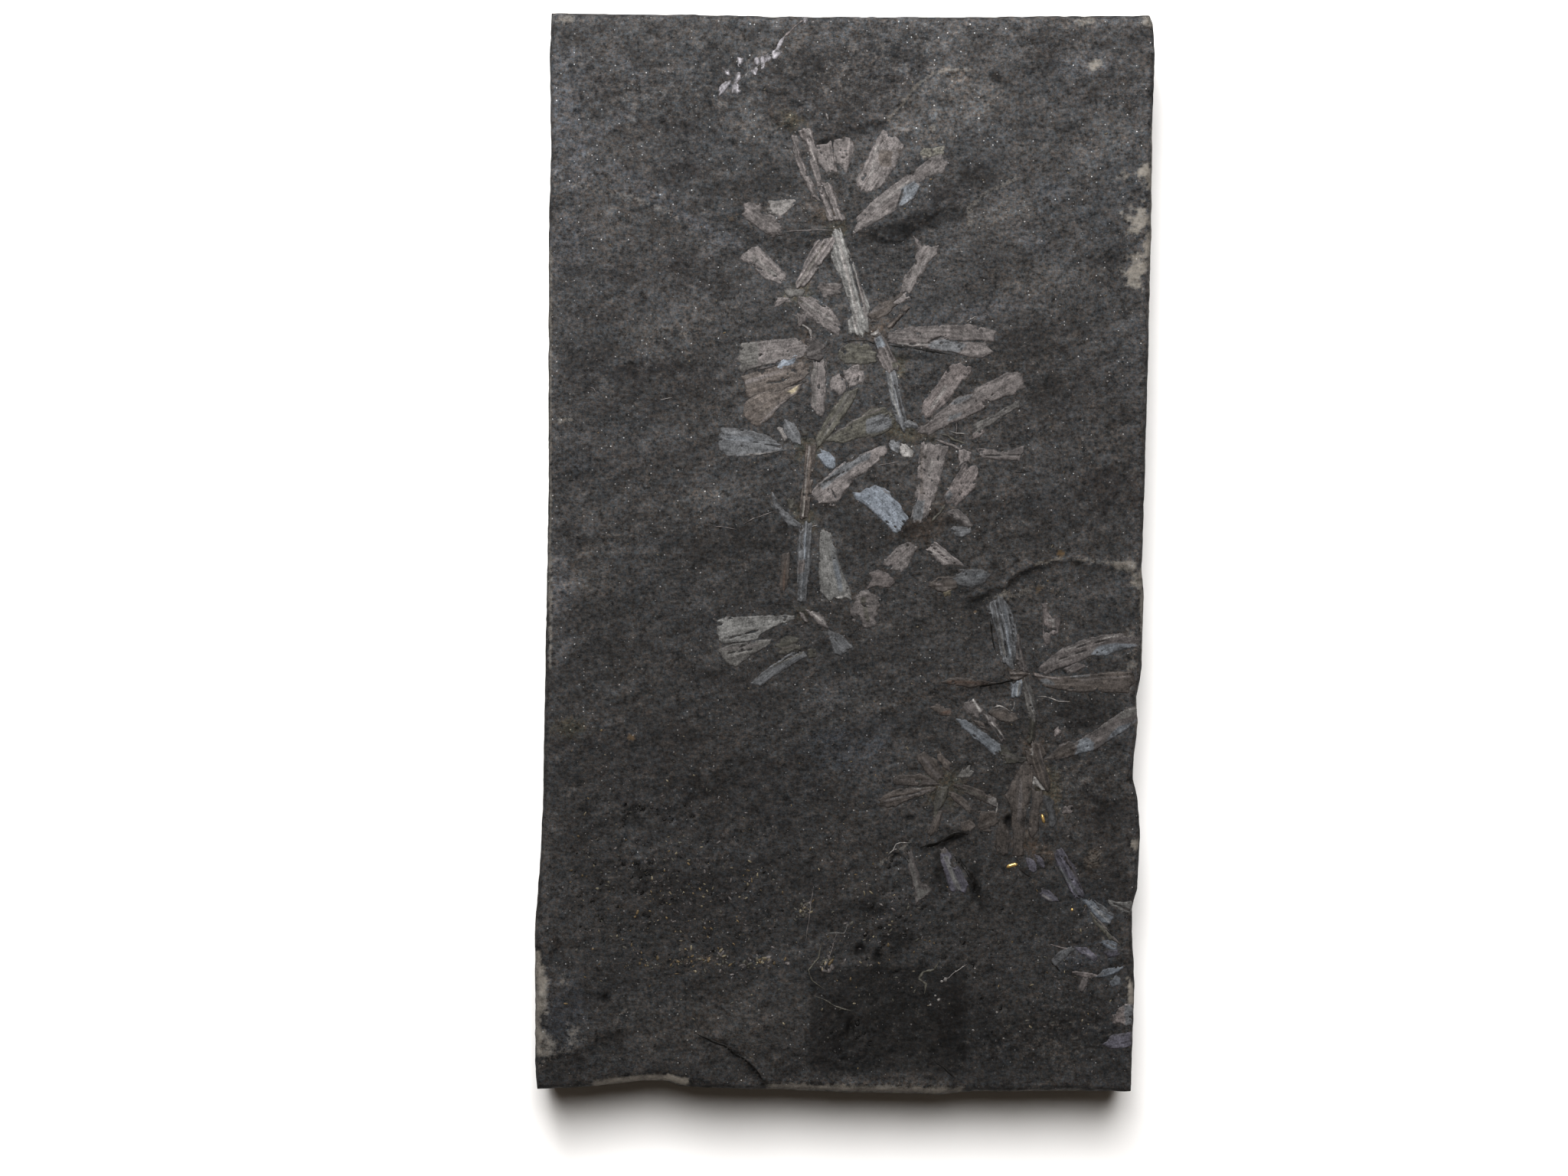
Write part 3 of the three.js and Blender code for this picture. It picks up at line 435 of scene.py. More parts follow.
MAIN_LEAVES = [
    film("brown", [(-3.6, 53.3), (-1.9, 53.8), (-1.1, 49.9), (-2.2, 49.7), (-3.3, 51.1)], light=1.2),
    film("brown", [(-1.3, 54.1), (0.6, 54.5), (1.1, 52.7), (0.4, 50.3), (0, 50), (-1.3, 51.3)],
        streak("tan", 0.4, (-0.6, 53.8), (-0.4, 51.2)), light=1.18),
    film("tan", [(5, 55.3), (6.5, 54.4), (7.6, 53.3), (7.5, 52.4), (4.7, 48.1), (3.4, 47.4), (2.2, 47.7),
        (1.5, 48.6), (2.6, 51.1)], patch("dim", (4.4, 52.9), (6.3, 52.7), (6.1, 50.6), (4.6, 50.7)),
        patch("dim", (6.6, 53.2), (7.6, 52.8), (7.2, 52)), streak("light", 0.4, (3.2, 48.6), (4.3, 53.4)),
        wear=0.1, light=1.04),
    film("tan", [(1.4, 42), (1.7, 43.9), (3.4, 45.8), (6.2, 48.1), (9, 49.9), (11.2, 51.7), (12.5, 52.2),
        (13.2, 51.1), (12.9, 49.9), (11.2, 49.5), (9.7, 48), (9.2, 46.6)],
        patch("steel", (7.2, 47.7), (7.9, 48.3), (9.2, 48.8), (9.7, 48), (9.3, 46.7), (7, 45.3), (7.6, 47)),
        crack(0.16, (7.6, 47.6), (6.9, 45.4)), streak("light", 0.25, (4, 45.4), (8.6, 48.9)), wear=0.15,
        light=0.88),
    film("olive", [(9.7, 53.1), (11.2, 53.1), (11.1, 52), (10.1, 52.2)], wear=0.4, light=1.68),
    film("olive", [(11.4, 53), (12.9, 53.3), (12.8, 52.4), (11.5, 52.2)], wear=0.4, light=1.7),
    film("light", [(-10.4, 44.9), (-9.7, 46.1), (-6.4, 46.2), (-8.3, 44.2)], light=0.67),
    film("brown", [(-13.2, 45.8), (-11.1, 45.8), (-11, 44.5), (-10.2, 44.2), (-8.3, 44.1), (-8.2, 41.7),
        (-9.4, 41.4), (-12.2, 43.3), (-13.2, 44.2)],
        patch("tan", (-13.2, 45.8), (-11.1, 45.8), (-11.2, 44.5), (-13.2, 44.4)), wear=0.3, light=0.82),
    film("tan", [(9, 41.6), (10.1, 40.3), (12.2, 40.2), (11.7, 38.9), (10.6, 37.8), (9.7, 35.8),
        (8.4, 34.1), (7.3, 34.4), (7.9, 36.1), (9.3, 38.3), (9.7, 39.9)],
        streak("light", 0.2, (8.4, 35), (11.2, 39.6)), wear=0.25, light=0.87),
    film("tan", [(6.4, 33), (8, 34.1), (8.4, 33.6), (6.9, 32.7)], light=1.3),
    film("dim", [(3.1, 31.4), (4.7, 32.7), (5.9, 33), (7.2, 33.9), (8.1, 33.4), (6.5, 32.4), (5, 30.8),
        (3.4, 30.4)], streak("tan", 0.3, (3.4, 31.6), (5, 32.3)), wear=0.3, light=0.86),
    film("brown", [(-3.5, 35.5), (-0.7, 35.3), (-0.5, 34.1), (-2.9, 33.6)],
        wear=0.3), # the large leaves of the second joint
    film("brown", [(5.6, 28.9), (7.5, 29.5), (13.7, 29.9), (16.4, 29.9), (19.6, 29.1), (19.4, 27.8),
        (18.1, 27.8), (19.3, 26.5), (17.7, 25.6), (13.7, 26.5), (11.2, 26.8), (10.4, 27.1), (5.7, 27.7)],
        patch("slate", (10.9, 27.3), (12.3, 28.1), (14.8, 27.8), (15.9, 27.3), (14.8, 26.3), (11.2, 26.8)),
        crack(0.16, (11.2, 27.8), (12.6, 28.4), (14, 27.8), (16.7, 27.8), (18.1, 27.8)),
        streak("light", 0.2, (7, 27.5), (9, 27.3), (10.9, 27.4)),
        streak("tan", 0.4, (6.6, 29), (12, 29.4), (18.6, 28.9)), wear=0.15),
    film("olive", [(-0.7, 26.4), (0.6, 27.4), (2.9, 27.4), (4.2, 26.2), (4, 25.2), (2.4, 24.9), (0.2, 25),
        (-0.6, 25.6)], streak("light", 0.12, (-0.8, 25.2), (-0.5, 25.9), (0, 26.2)), light=0.95),
    film("brown", [(-5, 28.2), (-3.6, 28), (-2.4, 26.6), (-3.4, 25.2), (-5, 25.6)], wear=0.4, light=0.54),
    film("pink", [(14, 24.7), (15.2, 24.9), (16.4, 24.4), (16.3, 23.6), (14.9, 22.2), (13.3, 19.9),
        (10.7, 17.7), (10.1, 18.7), (10.4, 19.8)], streak("light", 0.35, (11.4, 19.2), (13.2, 21.8)),
        wear=0.2, light=0.97),
    film("brown", [(9.4, 16.2), (13.9, 19.6), (14.8, 20.5), (16.7, 20.9), (17, 21.6), (21.4, 23.7),
        (23, 23.7), (23.6, 21.8), (20.8, 20.5), (18.4, 19.9), (18, 19), (10.8, 15.5)],
        patch("slate", (14, 19.7), (14.8, 20.5), (16.7, 20.9), (16.4, 20.2), (15.2, 19.6)),
        patch("slate", (13.7, 18.1), (15.3, 18.5), (15.1, 18), (13.5, 17.4)), hole(17.2, 20, 0.15),
        hole(18.1, 19.8, 0.2), streak("tan", 0.4, (12, 17.8), (16, 20), (20, 22.4)), light=1.08),
    film("grey", [(16.9, 16.8), (17.3, 17.2), (19.4, 18), (22.8, 20.1), (22.9, 19.4), (17.2, 15.9)],
        streak("tan", 0.3, (17.6, 16.7), (21.9, 19)), light=0.8),
    film("pink", [(16.7, 15.7), (18.1, 16.3), (18.2, 15.9), (16.8, 15)]),
    film("brown", [(17.2, 13.7), (20.3, 13.4), (22.1, 13.5), (23.4, 14), (23.4, 13.2), (22.6, 12.3),
        (20.3, 12.4), (18.1, 12.7)], crack(0.12, (18.5, 12.9), (20.4, 12.8)),
        crack(0.12, (20.8, 12.9), (22.8, 12.9)), wear=0.3, light=0.95), # round the third joint
    film("tan", [(10.1, 14.8), (13.5, 13.8), (11.4, 6.4), (10.3, 4.2), (8.6, 4.2), (9, 6)],
        patch("slate", (9, 7), (10.4, 7), (10.1, 4.4), (8.7, 4.4)), hole(10.5, 12.6, 0.25),
        hole(10.4, 11, 0.2), hole(11.4, 9.6, 0.2), hole(10.4, 7.9, 0.2),
        streak("light", 0.4, (11.5, 12.2), (11, 10.2)), streak("dim", 0.4, (10, 13.6), (10, 8)), wear=0.4,
        light=1.12),
    film("pink", [(15.4, 11.7), (17.1, 11.2), (17.3, 10.3), (16.8, 8.5), (14.6, 6.4), (12.8, 7.3),
        (13.7, 8.5)], hole(15.2, 9.2, 0.2), patch("slate", (12.8, 7.3), (13.7, 8.4), (14.2, 7.8),
        (13.6, 6.9)), light=0.95),
    film("tan", [(15, 13.6), (15.4, 13.8), (16.4, 13.3), (16.2, 12), (15, 11.8)], wear=0.4, light=1.3),
    film("tan", [(5.2, 14), (2, 12.9), (0.1, 12), (-3.6, 9), (-4.5, 7.8), (-3.6, 7.1), (-1.4, 6.4),
        (1.4, 10.1), (2.7, 10.7), (5.3, 13.2)], patch("slate", (2, 12.9), (3.4, 13.2), (3.2, 12.4),
        (1.4, 11.6), (-2.9, 8.4), (-3.5, 9), (0.1, 11.9)), crack(0.12, (-1.8, 8.6), (-1.2, 7.4)),
        crack(0.12, (-2.6, 9.4), (0.4, 11)), light=1.21),
    film("white", [(7.1, 14.3), (7.7, 14.4), (8.9, 13.4), (8.7, 12.7), (7.8, 12.8), (7.3, 13.5)], wear=0.1,
        light=0.8),
    film("slate", [(5.9, 14.4), (6.4, 14.8), (7.1, 14.4), (7.2, 13.6), (6.8, 13.2), (6.2, 13.6)],
        light=1.4), # round the fourth joint
    film("blue", [(1.2, 7.9), (4.2, 8.8), (5.8, 8.1), (6.1, 7.4), (6.9, 6.8), (7.3, 5.9), (8, 5.1),
        (8.1, 4.3), (7.3, 3.8), (7.2, 2.9), (6.5, 2.9), (3.3, 6.2), (1.5, 7.3)],
        patch("pink", (4.9, 8.5), (5.8, 8.1), (6, 7.6), (5.2, 8)), wear=0.06, calm=0.5),
    film("tan", [(13.5, 5.4), (14.8, 5.7), (15.9, 4.8), (16.6, 3.7), (15.7, 3.8)],
        streak("light", 0.22, (14.9, 5.3), (16.3, 3.9)), light=0.9),
    film("slate", [(14, 3.2), (14.6, 3.6), (16.2, 3.4), (16.4, 2.9), (15.3, 2.3), (14.3, 2.4)], light=0.98),
    film("tan", [(6.8, 0.7), (8.2, 1.5), (9, 1.2), (9.3, 0.6), (8.1, -1.8), (7.2, -2.4), (5.1, -1.1)],
        hole(8.2, 1.1, 0.25), hole(6.8, 0.3, 0.2), light=0.97),
    film("pink", [(3.4, -2.7), (4.5, -2.1), (6.4, -2.9), (6.5, -3.5), (5.8, -4.3), (4.2, -4.1), (3, -4.4),
        (3.6, -3.6)], light=0.76),
    film("tan", [(0.8, -7.4), (1.7, -5.2), (2.6, -4.8), (4.5, -5.7), (4.5, -6.8), (3.9, -8.3), (4, -9.4),
        (2.6, -9.6), (1.6, -8), (1.1, -9)], streak("olive", 0.6, (2.4, -6), (3, -8.6)), wear=0.25,
        light=0.9),
    film("tan", [(10.7, 0.6), (12, 1.4), (15.4, -1.5), (14.2, -1.2), (12.8, -1.3)],
        streak("light", 0.25, (11.2, 0.5), (13, -0.9)), streak("light", 0.2, (12, 1), (14.2, -0.9)),
        crack(0.1, (11.6, 0.8), (13.6, -0.9)), light=1.2),
    film("dim", [(11.2, -3.7), (12.6, -3.1), (14.4, -2.9), (14.5, -4.4), (12.8, -5), (11.4, -4.4)],
        streak("pink", 0.25, (11.6, -3.8), (12.8, -4.1)), light=0.91),
    film("slate", [(14.3, -3), (15.1, -2.2), (17.6, -2.1), (18.9, -2.7), (18, -3.9), (15.8, -4.3),
        (14.5, -3.9)], streak("steel", 0.4, (16.8, -2.8), (18.3, -2.8)), light=0.75, calm=0.7),
    film("straw", [(12.9, -5), (14, -4.7), (13.9, -5.3), (13.2, -5.5)], light=0.8),
]

# The shoot to its left
LEFT_STEMS = [
    stalk("tan", [(-3.8, 40.8), (-1.6, 41.1), (-1.6, 39.9), (-5.4, 34.9), (-6.4, 34.9)],
        streak("olive", 0.25, (-2.8, 40.4), (-5.8, 35.4)), light=1.12),
    stalk("tan", [(-6.1, 31.5), (-5.1, 31.3), (-5.4, 30.1), (-6, 29.8)], light=1.25),
    stalk("dim", [(-5, 14.2), (-3.9, 14.2), (-4.7, 6), (-5, 4.6), (-5.9, 4.6), (-5.3, 9.4)],
        streak("light", 0.14, (-4.6, 14), (-5, 11), (-5.2, 8.2), (-5.5, 5)),
        streak("olive", 0.3, (-5.4, 8.4), (-5.6, 5.4)), wear=0.3, light=1.4),
    stalk("slate", [(-5.8, 3.2), (-5, 4), (-4.4, 3.8), (-4.5, -1.1), (-5.2, -6.1), (-5.9, -6.2),
        (-6.1, -3.6), (-6.1, 1.3)], streak("light", 0.14, (-5.4, 3.6), (-5.7, 1.4), (-5.2, 0.5)),
        streak("steel", 0.3, (-5.2, 2.6), (-5.3, -4.6)),
        patch("brown", (-6.1, -0.8), (-5.2, -0.8), (-5.2, -2.4), (-6.1, -2.6))),
    stalk("tan", [(-5.9, -7.8), (-5.5, -7.8), (-4.9, -8.8), (-5.2, -9)], light=1.2),
]

LEFT_LEAVES = [
    film("tan", [(-12.6, 39.9), (-11.2, 40), (-7.9, 36.7), (-7.9, 35.8), (-8.6, 35.4), (-10.4, 36.1),
        (-11.9, 37.7), (-13.6, 38.6)], streak("grey", 0.6, (-12, 38.9), (-9.2, 36.6)), light=1.06),
    film("tan", [(-9.2, 32.3), (-8.8, 33.4), (-7.6, 33.4), (-6.9, 33), (-8, 32.9)], light=1.35),
    film("grey", [(-8, 34.7), (-5.4, 34.6), (-5.5, 33.5), (-7.6, 33.6)], wear=0.4, light=0.85),
    film("tan", [(-6.2, 33.5), (-4.5, 33.6), (-1.8, 31.8), (-0.4, 29.6), (-0.8, 28.6), (-5.4, 31.3)],
        hole(-1.3, 29.9, 0.2), streak("light", 0.25, (-5.4, 32.9), (-1.6, 30.6)), light=0.95),
    film("tan", [(-13.5, 27.5), (-6.2, 28.2), (-4.7, 26.8), (-6, 25.5), (-8.2, 25.4), (-9.9, 24.4),
        (-12.4, 24.2), (-13.4, 23.4), (-13.9, 25.5)],
        patch("grey", (-13.8, 27.6), (-11.2, 27.8), (-11.4, 24.2), (-13.9, 23.6)),
        crack(0.18, (-12.9, 23.7), (-10.8, 24.5), (-8.8, 24.9)),
        streak("light", 0.2, (-13.2, 24.2), (-10.4, 24.9), (-8.2, 25.7))),
    film("blue", [(-8.9, 24.2), (-8.2, 25.2), (-6.4, 26), (-6.7, 24.8)], wear=0.03, soft=0.15),
    film("dim", [(-13.5, 23.2), (-8.2, 24.6), (-5.5, 25), (-4.8, 23.8), (-6, 22.7), (-8.2, 21.4),
        (-11.2, 21.1), (-12.5, 20.4)], crack(0.16, (-10.2, 22.4), (-8.5, 22.5), (-7.1, 23.1)),
        streak("brown", 0.5, (-12.8, 22.4), (-7.4, 24.2)), light=1.3),
    film("dim", [(-12.6, 20), (-11.6, 21), (-8.5, 21.3), (-5.5, 22.3), (-6.2, 21.2), (-8.1, 19.8),
        (-9.4, 18.1), (-11.1, 16.6), (-12.6, 17.4), (-13.1, 18.1)],
        patch("straw", (-7.6, 21.2), (-5.9, 22.2), (-6.5, 20.9)),
        streak("tan", 0.25, (-11, 17.1), (-8.8, 19.2), (-6.4, 21.2)), wear=0.08, light=1.5),
    film("tan", [(-4, 24.9), (-2.5, 25.1), (-2.6, 21), (-2.9, 18.1), (-3.4, 18.1), (-4.3, 19.5),
        (-4.3, 23.5)], streak("grey", 0.5, (-4.1, 24.4), (-4, 19.6))),
    film("tan", [(0, 24.1), (1.7, 24.6), (2.6, 23.2), (2.2, 22.3), (0.7, 21.9), (0.1, 22.7)], wear=0.1,
        light=1.25),
    film("tan", [(-1.9, 22.6), (-0.7, 23.4), (0.1, 22.6), (0, 21.5), (-0.8, 20.7), (-1.9, 21.6)],
        light=1.18),
    film("slate", [(-7.9, 17.7), (-6.8, 17.1), (-5.7, 15.1), (-6, 14.3), (-7.1, 14.6), (-7.9, 15.9)],
        light=1.1),
    film("light", [(-8.9, 16.5), (-8.3, 16.5), (-7.5, 15.2), (-7.9, 14.9)], light=1.1),
    film("slate", [(-16.4, 13.6), (-16.5, 15.2), (-16, 16.4), (-13.6, 16.3), (-10, 15.4), (-8.2, 14.2),
        (-8, 13.5), (-12, 12.9), (-15.4, 12.8)], streak("light", 0.12, (-15.4, 12.95), (-11.3, 13.05),
        (-8.8, 13.4)), crack(0.1, (-11.9, 14.6), (-8.5, 14)), hole(-14.4, 14.9, 0.15),
        streak("steel", 0.5, (-15.2, 15.2), (-12.2, 15)), wear=0.1, light=1, calm=0.6),
    film("olive", [(1.8, 21.8), (1.5, 20.9), (-0.7, 17.1), (-3.6, 13.8), (-3.9, 14.8), (-1.6, 19), (0, 21)],
        streak("brown", 0.3, (1, 20.8), (-2.4, 16.6)), streak("grey", 0.3, (0.4, 20.8), (-2.6, 15.6)),
        light=1.02),
    film("olive", [(-2.4, 14.9), (-0.7, 16.3), (3.4, 18.8), (5, 19.1), (6.2, 18.4), (6.5, 16.8),
        (4.7, 15.5), (2.2, 15.2), (-0.4, 14.6)], patch("slate", (2.8, 17.6), (4.6, 18.4), (6.1, 17.8),
        (6.2, 16.8), (4.4, 15.9), (2.8, 15.8)), streak("tan", 0.2, (-1.6, 15.6), (1.8, 17.8), (4.6, 18.9))),
    film("blue", [(-3.1, 13.7), (-2, 13.2), (-1.4, 12.4), (-1.4, 11.5), (-2, 11.1), (-2.8, 11.8),
        (-3.5, 12.8)], calm=0.7),
    film("slate", [(-9.5, 7.9), (-8.1, 5.7), (-6, 4), (-5.9, 3.5), (-7.3, 3.8), (-9.1, 6.1)], light=1.05),
    film("olive", [(-7.5, 6.9), (-6.6, 7), (-6.4, 6.2), (-7.3, 6)], light=0.85),
    film("pale", [(-2.7, 3.2), (-3.1, 2.6), (-3.3, -2.4), (-3.2, -4.9), (-2, -6.1), (0.2, -5.5),
        (0.7, -5.7), (0.6, -4.9), (-0.8, -1.1), (-1.4, 1.4), (-1.9, 2.6)], hole(-1.4, -0.6, 0.15),
        streak("white", 0.1, (0.2, -4), (0.55, -5.2), (-0.2, -5.6), (-1.1, -5.7)),
        streak("steel", 0.6, (-1.6, 1), (-0.6, -4.6)), wear=0.1, light=0.8, calm=0.7),
    film("dim", [(-8.3, -0.2), (-7.4, 0), (-7.4, -3.1), (-8.1, -5.4), (-8.5, -4)],
        streak("rust", 0.3, (-7.8, -0.8), (-8, -4.6)), wear=0.3),
    film("pale", [(-16.6, -8.8), (-15.5, -8.4), (-6.7, -8.1), (-6.6, -8.5), (-8.6, -9.1), (-10.2, -9.9),
        (-11.7, -11.1), (-13.6, -11.5), (-15.8, -11.5), (-16.6, -10.5)],
        crack(0.1, (-15, -11), (-11.4, -10)), wear=0.12, light=0.9, calm=0.7),
    film("grey", [(-16.6, -12.4), (-14.8, -11.9), (-9.7, -11.3), (-9.9, -11.8), (-14.4, -14.7),
        (-15.5, -13.9)], crack(0.14, (-15.3, -13), (-12.2, -12.5)),
        streak("tan", 0.3, (-15.8, -12.4), (-11.4, -11.9))),
    film("slate", [(-12.2, -16.9), (-11.1, -17.2), (-8.9, -15.6), (-5.2, -13.5), (-5.3, -12.8), (-7, -13.1),
        (-9.5, -14.7)], streak("olive", 0.2, (-9.2, -14.6), (-5.6, -12.9)), calm=0.7),
    film("olive", [(-8.9, -11.8), (-7.6, -10.8), (-6.1, -11), (-5.9, -12.6), (-8.4, -13)],
        streak("dim", 0.5, (-8.4, -12.6), (-6.6, -11.8)), wear=0.4, light=0.78),
    film("olive", [(-4.7, -12.5), (-3.8, -12.6), (-3.8, -13.5), (-4.7, -13.4)], light=0.72),
    film("tan", [(-4.9, -7.4), (-3.6, -7.5), (-2.5, -8.5), (-2.2, -9.7), (-3.3, -9.1)],
        streak("light", 0.2, (-4.4, -7.6), (-2.6, -9)), light=1.05),
    film("slate", [(-2, -10), (-0.2, -10.8), (0.9, -12.2), (-0.3, -13.5), (-1.4, -12.7), (-1.9, -11.3)],
        soft=0.5, light=0.95, calm=0.6),
]

# The shoot near the right edge
RIGHT_STEMS = [
    stalk("slate", [(18.6, -6.6), (20.6, -5.7), (21.9, -7.9), (22.4, -10.1), (22.4, -12), (22, -15.1),
        (20.7, -13.8), (19.9, -10.1)], crack(0.12, (19.8, -6.4), (20.4, -8.8), (20.9, -10.5),
        (21.2, -13.6)), crack(0.1, (21.6, -7.9), (21.9, -10.1), (22.1, -12.6)),
        streak("steel", 0.3, (20.9, -6.8), (21.6, -13.4)), streak("grey", 0.3, (19.5, -7), (20.9, -13.2))),
    stalk("brown", [(22.4, -10.3), (22.7, -10.4), (23, -12.6), (23.8, -15.5), (23.3, -15.2), (22.6, -14)],
        crack(0.12, (22.7, -12.6), (23.3, -14.9)), streak("grey", 0.16, (22.6, -11.2), (23.1, -14.2)),
        light=0.85),
    stalk("dim", [(21.5, -15.5), (22.3, -15.1), (23.3, -15.2), (23.7, -15.8), (22.5, -16.5), (21.8, -16.2)],
        streak("tan", 0.2, (22, -15.4), (22.6, -16.1)), wear=0.4, light=1.1),
    stalk("steel", [(21.7, -16.9), (23, -16.6), (23.2, -17.3), (22.7, -18.7), (22, -18.5)],
        streak("pale", 0.2, (22.9, -16.9), (22.6, -18.4)), wear=0.08, light=1.09),
    stalk("grey", [(23.5, -16.3), (24.2, -17.3), (24.7, -19.2), (25, -21), (24.7, -22.1), (24.2, -21),
        (23.3, -17.3)], streak("slate", 0.2, (23.9, -17.2), (24.7, -20.4)),
        streak("tan", 0.16, (23.7, -17.6), (24.3, -20.6)), light=0.84),
    stalk("olive", [(24.3, -21.5), (24.9, -21.8), (24.6, -24.6), (23.9, -24.6)], wear=0.4, light=0.58),
    stalk("dim", [(23.8, -25.4), (24.1, -24.6), (24.9, -24.4), (25.6, -24.8), (26.3, -26.4), (25.8, -26.9),
        (26.9, -30.3), (26.5, -31), (25, -29.1), (23.8, -26.8)],
        streak("light", 0.25, (24.5, -24.8), (24.5, -26.2)),
        streak("tan", 0.2, (25.4, -25.6), (26.4, -29.8)), wear=0.4, light=1.1),
    stalk("white", [(24.7, -29.1), (24.9, -29.1), (26.1, -30.7), (25.8, -30.9), (24.9, -30.3)], wear=0.1,
        light=0.75),
]

RIGHT_LEAVES = [
    film("brown", [(25.3, -15.1), (26.3, -14), (28.5, -12.4), (31.3, -11.3), (33.5, -10.7), (36, -10.5),
        (37.2, -10.9), (38.8, -10.7), (38.9, -11.3), (38.2, -12), (36.3, -12.4), (34.1, -13.2),
        (32.5, -13.2), (26.3, -15.6)], patch("steel", (32, -13.2), (33.2, -12), (35.4, -11.5),
        (38.2, -11.9), (34.1, -13.3)), patch("tan", (35.8, -11.3), (36.4, -10.7), (38.9, -10.7),
        (38.8, -11.3)), streak("light", 0.2, (28.8, -12.6), (31.9, -11.4), (35.7, -10.7)),
        crack(0.1, (30.4, -12.2), (34, -11.3)), crack(0.1, (28, -13.8), (31.6, -12.6)), wear=0.12,
        light=1.01),
    film("pink", [(28.7, -15.1), (30.7, -14.2), (31.3, -14.6), (29.8, -15.7)],
        streak("light", 0.3, (29.2, -15.4), (29.7, -15)), wear=0.6, light=0.8),
    film("dim", [(24.7, -15.7), (26.6, -16.2), (30.6, -16), (34.4, -15.5), (37.5, -15.5), (37.8, -16.6),
        (37.2, -18), (31.3, -18), (28.1, -17.7), (26.3, -17.3)],
        patch("slate", (25.5, -16.4), (26.2, -16.3), (27.4, -16.8), (27.4, -17.2), (25.6, -16.9)),
        streak("slate", 0.25, (29.6, -16), (31.9, -15.9)),
        streak("pink", 0.16, (24.8, -15.8), (28.4, -16.4)), streak("tan", 0.25, (31, -16.4), (37.2, -16)),
        wear=0.1, light=1.11),
    film("dim", [(12.9, -16.8), (13.8, -16.4), (15.1, -16.2), (19.6, -16.9), (16.3, -17.4)],
        streak("rust", 0.5, (13.6, -16.8), (18.6, -16.9)), wear=0.3, light=0.85),
    film("pink", [(25.8, -6.5), (26.3, -6.4), (26.5, -8), (27.6, -8.3), (28.1, -8.7), (27.8, -10.1),
        (26.8, -10.5), (26.8, -12.5), (26.5, -12.5), (26, -10.5), (26.1, -8.6)],
        streak("light", 0.3, (26.4, -8.6), (27.4, -8.8), (27.2, -9.9)), wear=0.6, light=0.85),
    film("tan", [(15.4, -20), (16.7, -18.9), (17.9, -20.3), (17.6, -21.4), (16, -20.8)],
        streak("white", 0.25, (16.8, -19.1), (17.7, -20.5)), wear=0.2, light=0.84),
    film("tan", [(18.2, -21), (19, -21.2), (19.6, -21.7), (20.9, -24.4), (20.4, -24.4)],
        crack(0.1, (18.9, -21.7), (20.5, -24.2)), streak("white", 0.13, (18.4, -21.1), (20.5, -23.6)),
        light=0.88),
    film("dim", [(18.8, -20.8), (19.6, -20.3), (20.8, -20.2), (22.7, -21.2), (22.5, -21.8), (21.3, -22.1)],
        wear=0.3, light=0.95),
    film("dim", [(11, -20), (12.3, -19.7), (13.7, -20.3), (13.8, -21.1), (12.6, -21.1)],
        streak("rust", 0.4, (12.6, -21), (13.7, -20.6)), wear=0.4, light=1.2),
    film("steel", [(14.6, -21.6), (15.7, -21.7), (20.4, -25), (20.4, -25.8), (19.5, -26.1), (15.4, -22.7)],
        wear=0.1, light=0.92, calm=0.6),
    film("olive", [(20.3, -24.9), (21.2, -25.4), (21.7, -26.3), (23.8, -26.6), (23.3, -27.3), (20.9, -27.3),
        (20.2, -26.3)], streak("brown", 0.4, (20.8, -26.2), (23.2, -27)), light=0.63),
    film("dim", [(16.7, -21.7), (18, -22.1), (18.8, -23.2), (17.5, -22.5)]),
    film("brown", [(27.2, -26.2), (28.1, -25), (29.2, -24.6), (30, -24.8), (35.6, -21.2), (36.6, -20.2),
        (38.6, -20.1), (38.6, -21), (38, -22.1), (32.7, -25.6), (28.1, -26.7), (26.2, -26.8)],
        patch("dim", (26.2, -26.8), (27.7, -25.5), (29.2, -24.6), (30, -24.8), (30.1, -26.2),
        (28.1, -26.7)), patch("steel", (30.1, -26.2), (30.5, -24.6), (31.6, -23.9), (32.6, -24.8),
        (32.5, -25.6), (30.9, -26.2)), patch("steel", (33.6, -24.9), (35.8, -22.5), (38.4, -21.6),
        (36, -23.6)), patch("grey", (35.8, -21.2), (36.6, -20.2), (38.6, -20.1), (38.7, -20.8),
        (36, -21.7)), streak("light", 0.22, (32.4, -23.4), (34.8, -21.9), (36.5, -20.4), (38.5, -20.1)),
        wear=0.1, light=0.95),
    film("dim", [(23.5, -27.1), (21, -31.6), (21.7, -32.7), (22, -34.4), (22.1, -39.4), (23.2, -39.5),
        (23.5, -34.4), (24.5, -29.1), (24.6, -27.4)], streak("brown", 0.6, (22.8, -29.6), (22.9, -35)),
        wear=0.06, light=1.02),
    film("dim", [(20.2, -35.3), (21.2, -35.6), (21.6, -37.1), (21.2, -39), (20.6, -39.4), (19.7, -38.2)],
        wear=0.1, light=0.85),
    film("dim", [(24.6, -31), (25.8, -31), (25.9, -31.8), (25.4, -33.2), (25.3, -35.9), (24.4, -37),
        (24.1, -36.4)], light=1.05),
    film("slate", [(25.7, -31.8), (26.4, -31.4), (27.2, -32.2), (27.6, -35.2), (26.9, -35.6),
        (26.5, -33.6)], soft=0.5, light=0.7),
    film("pink", [(28.5, -33.1), (29.8, -32.9), (29.6, -33.7), (28.7, -34)], wear=0.5, light=1.2),
    film("pink", [(27.4, -23.3), (27.8, -22.8), (28.3, -23), (28.3, -23.5), (27.7, -23.7)], light=1.4),
]

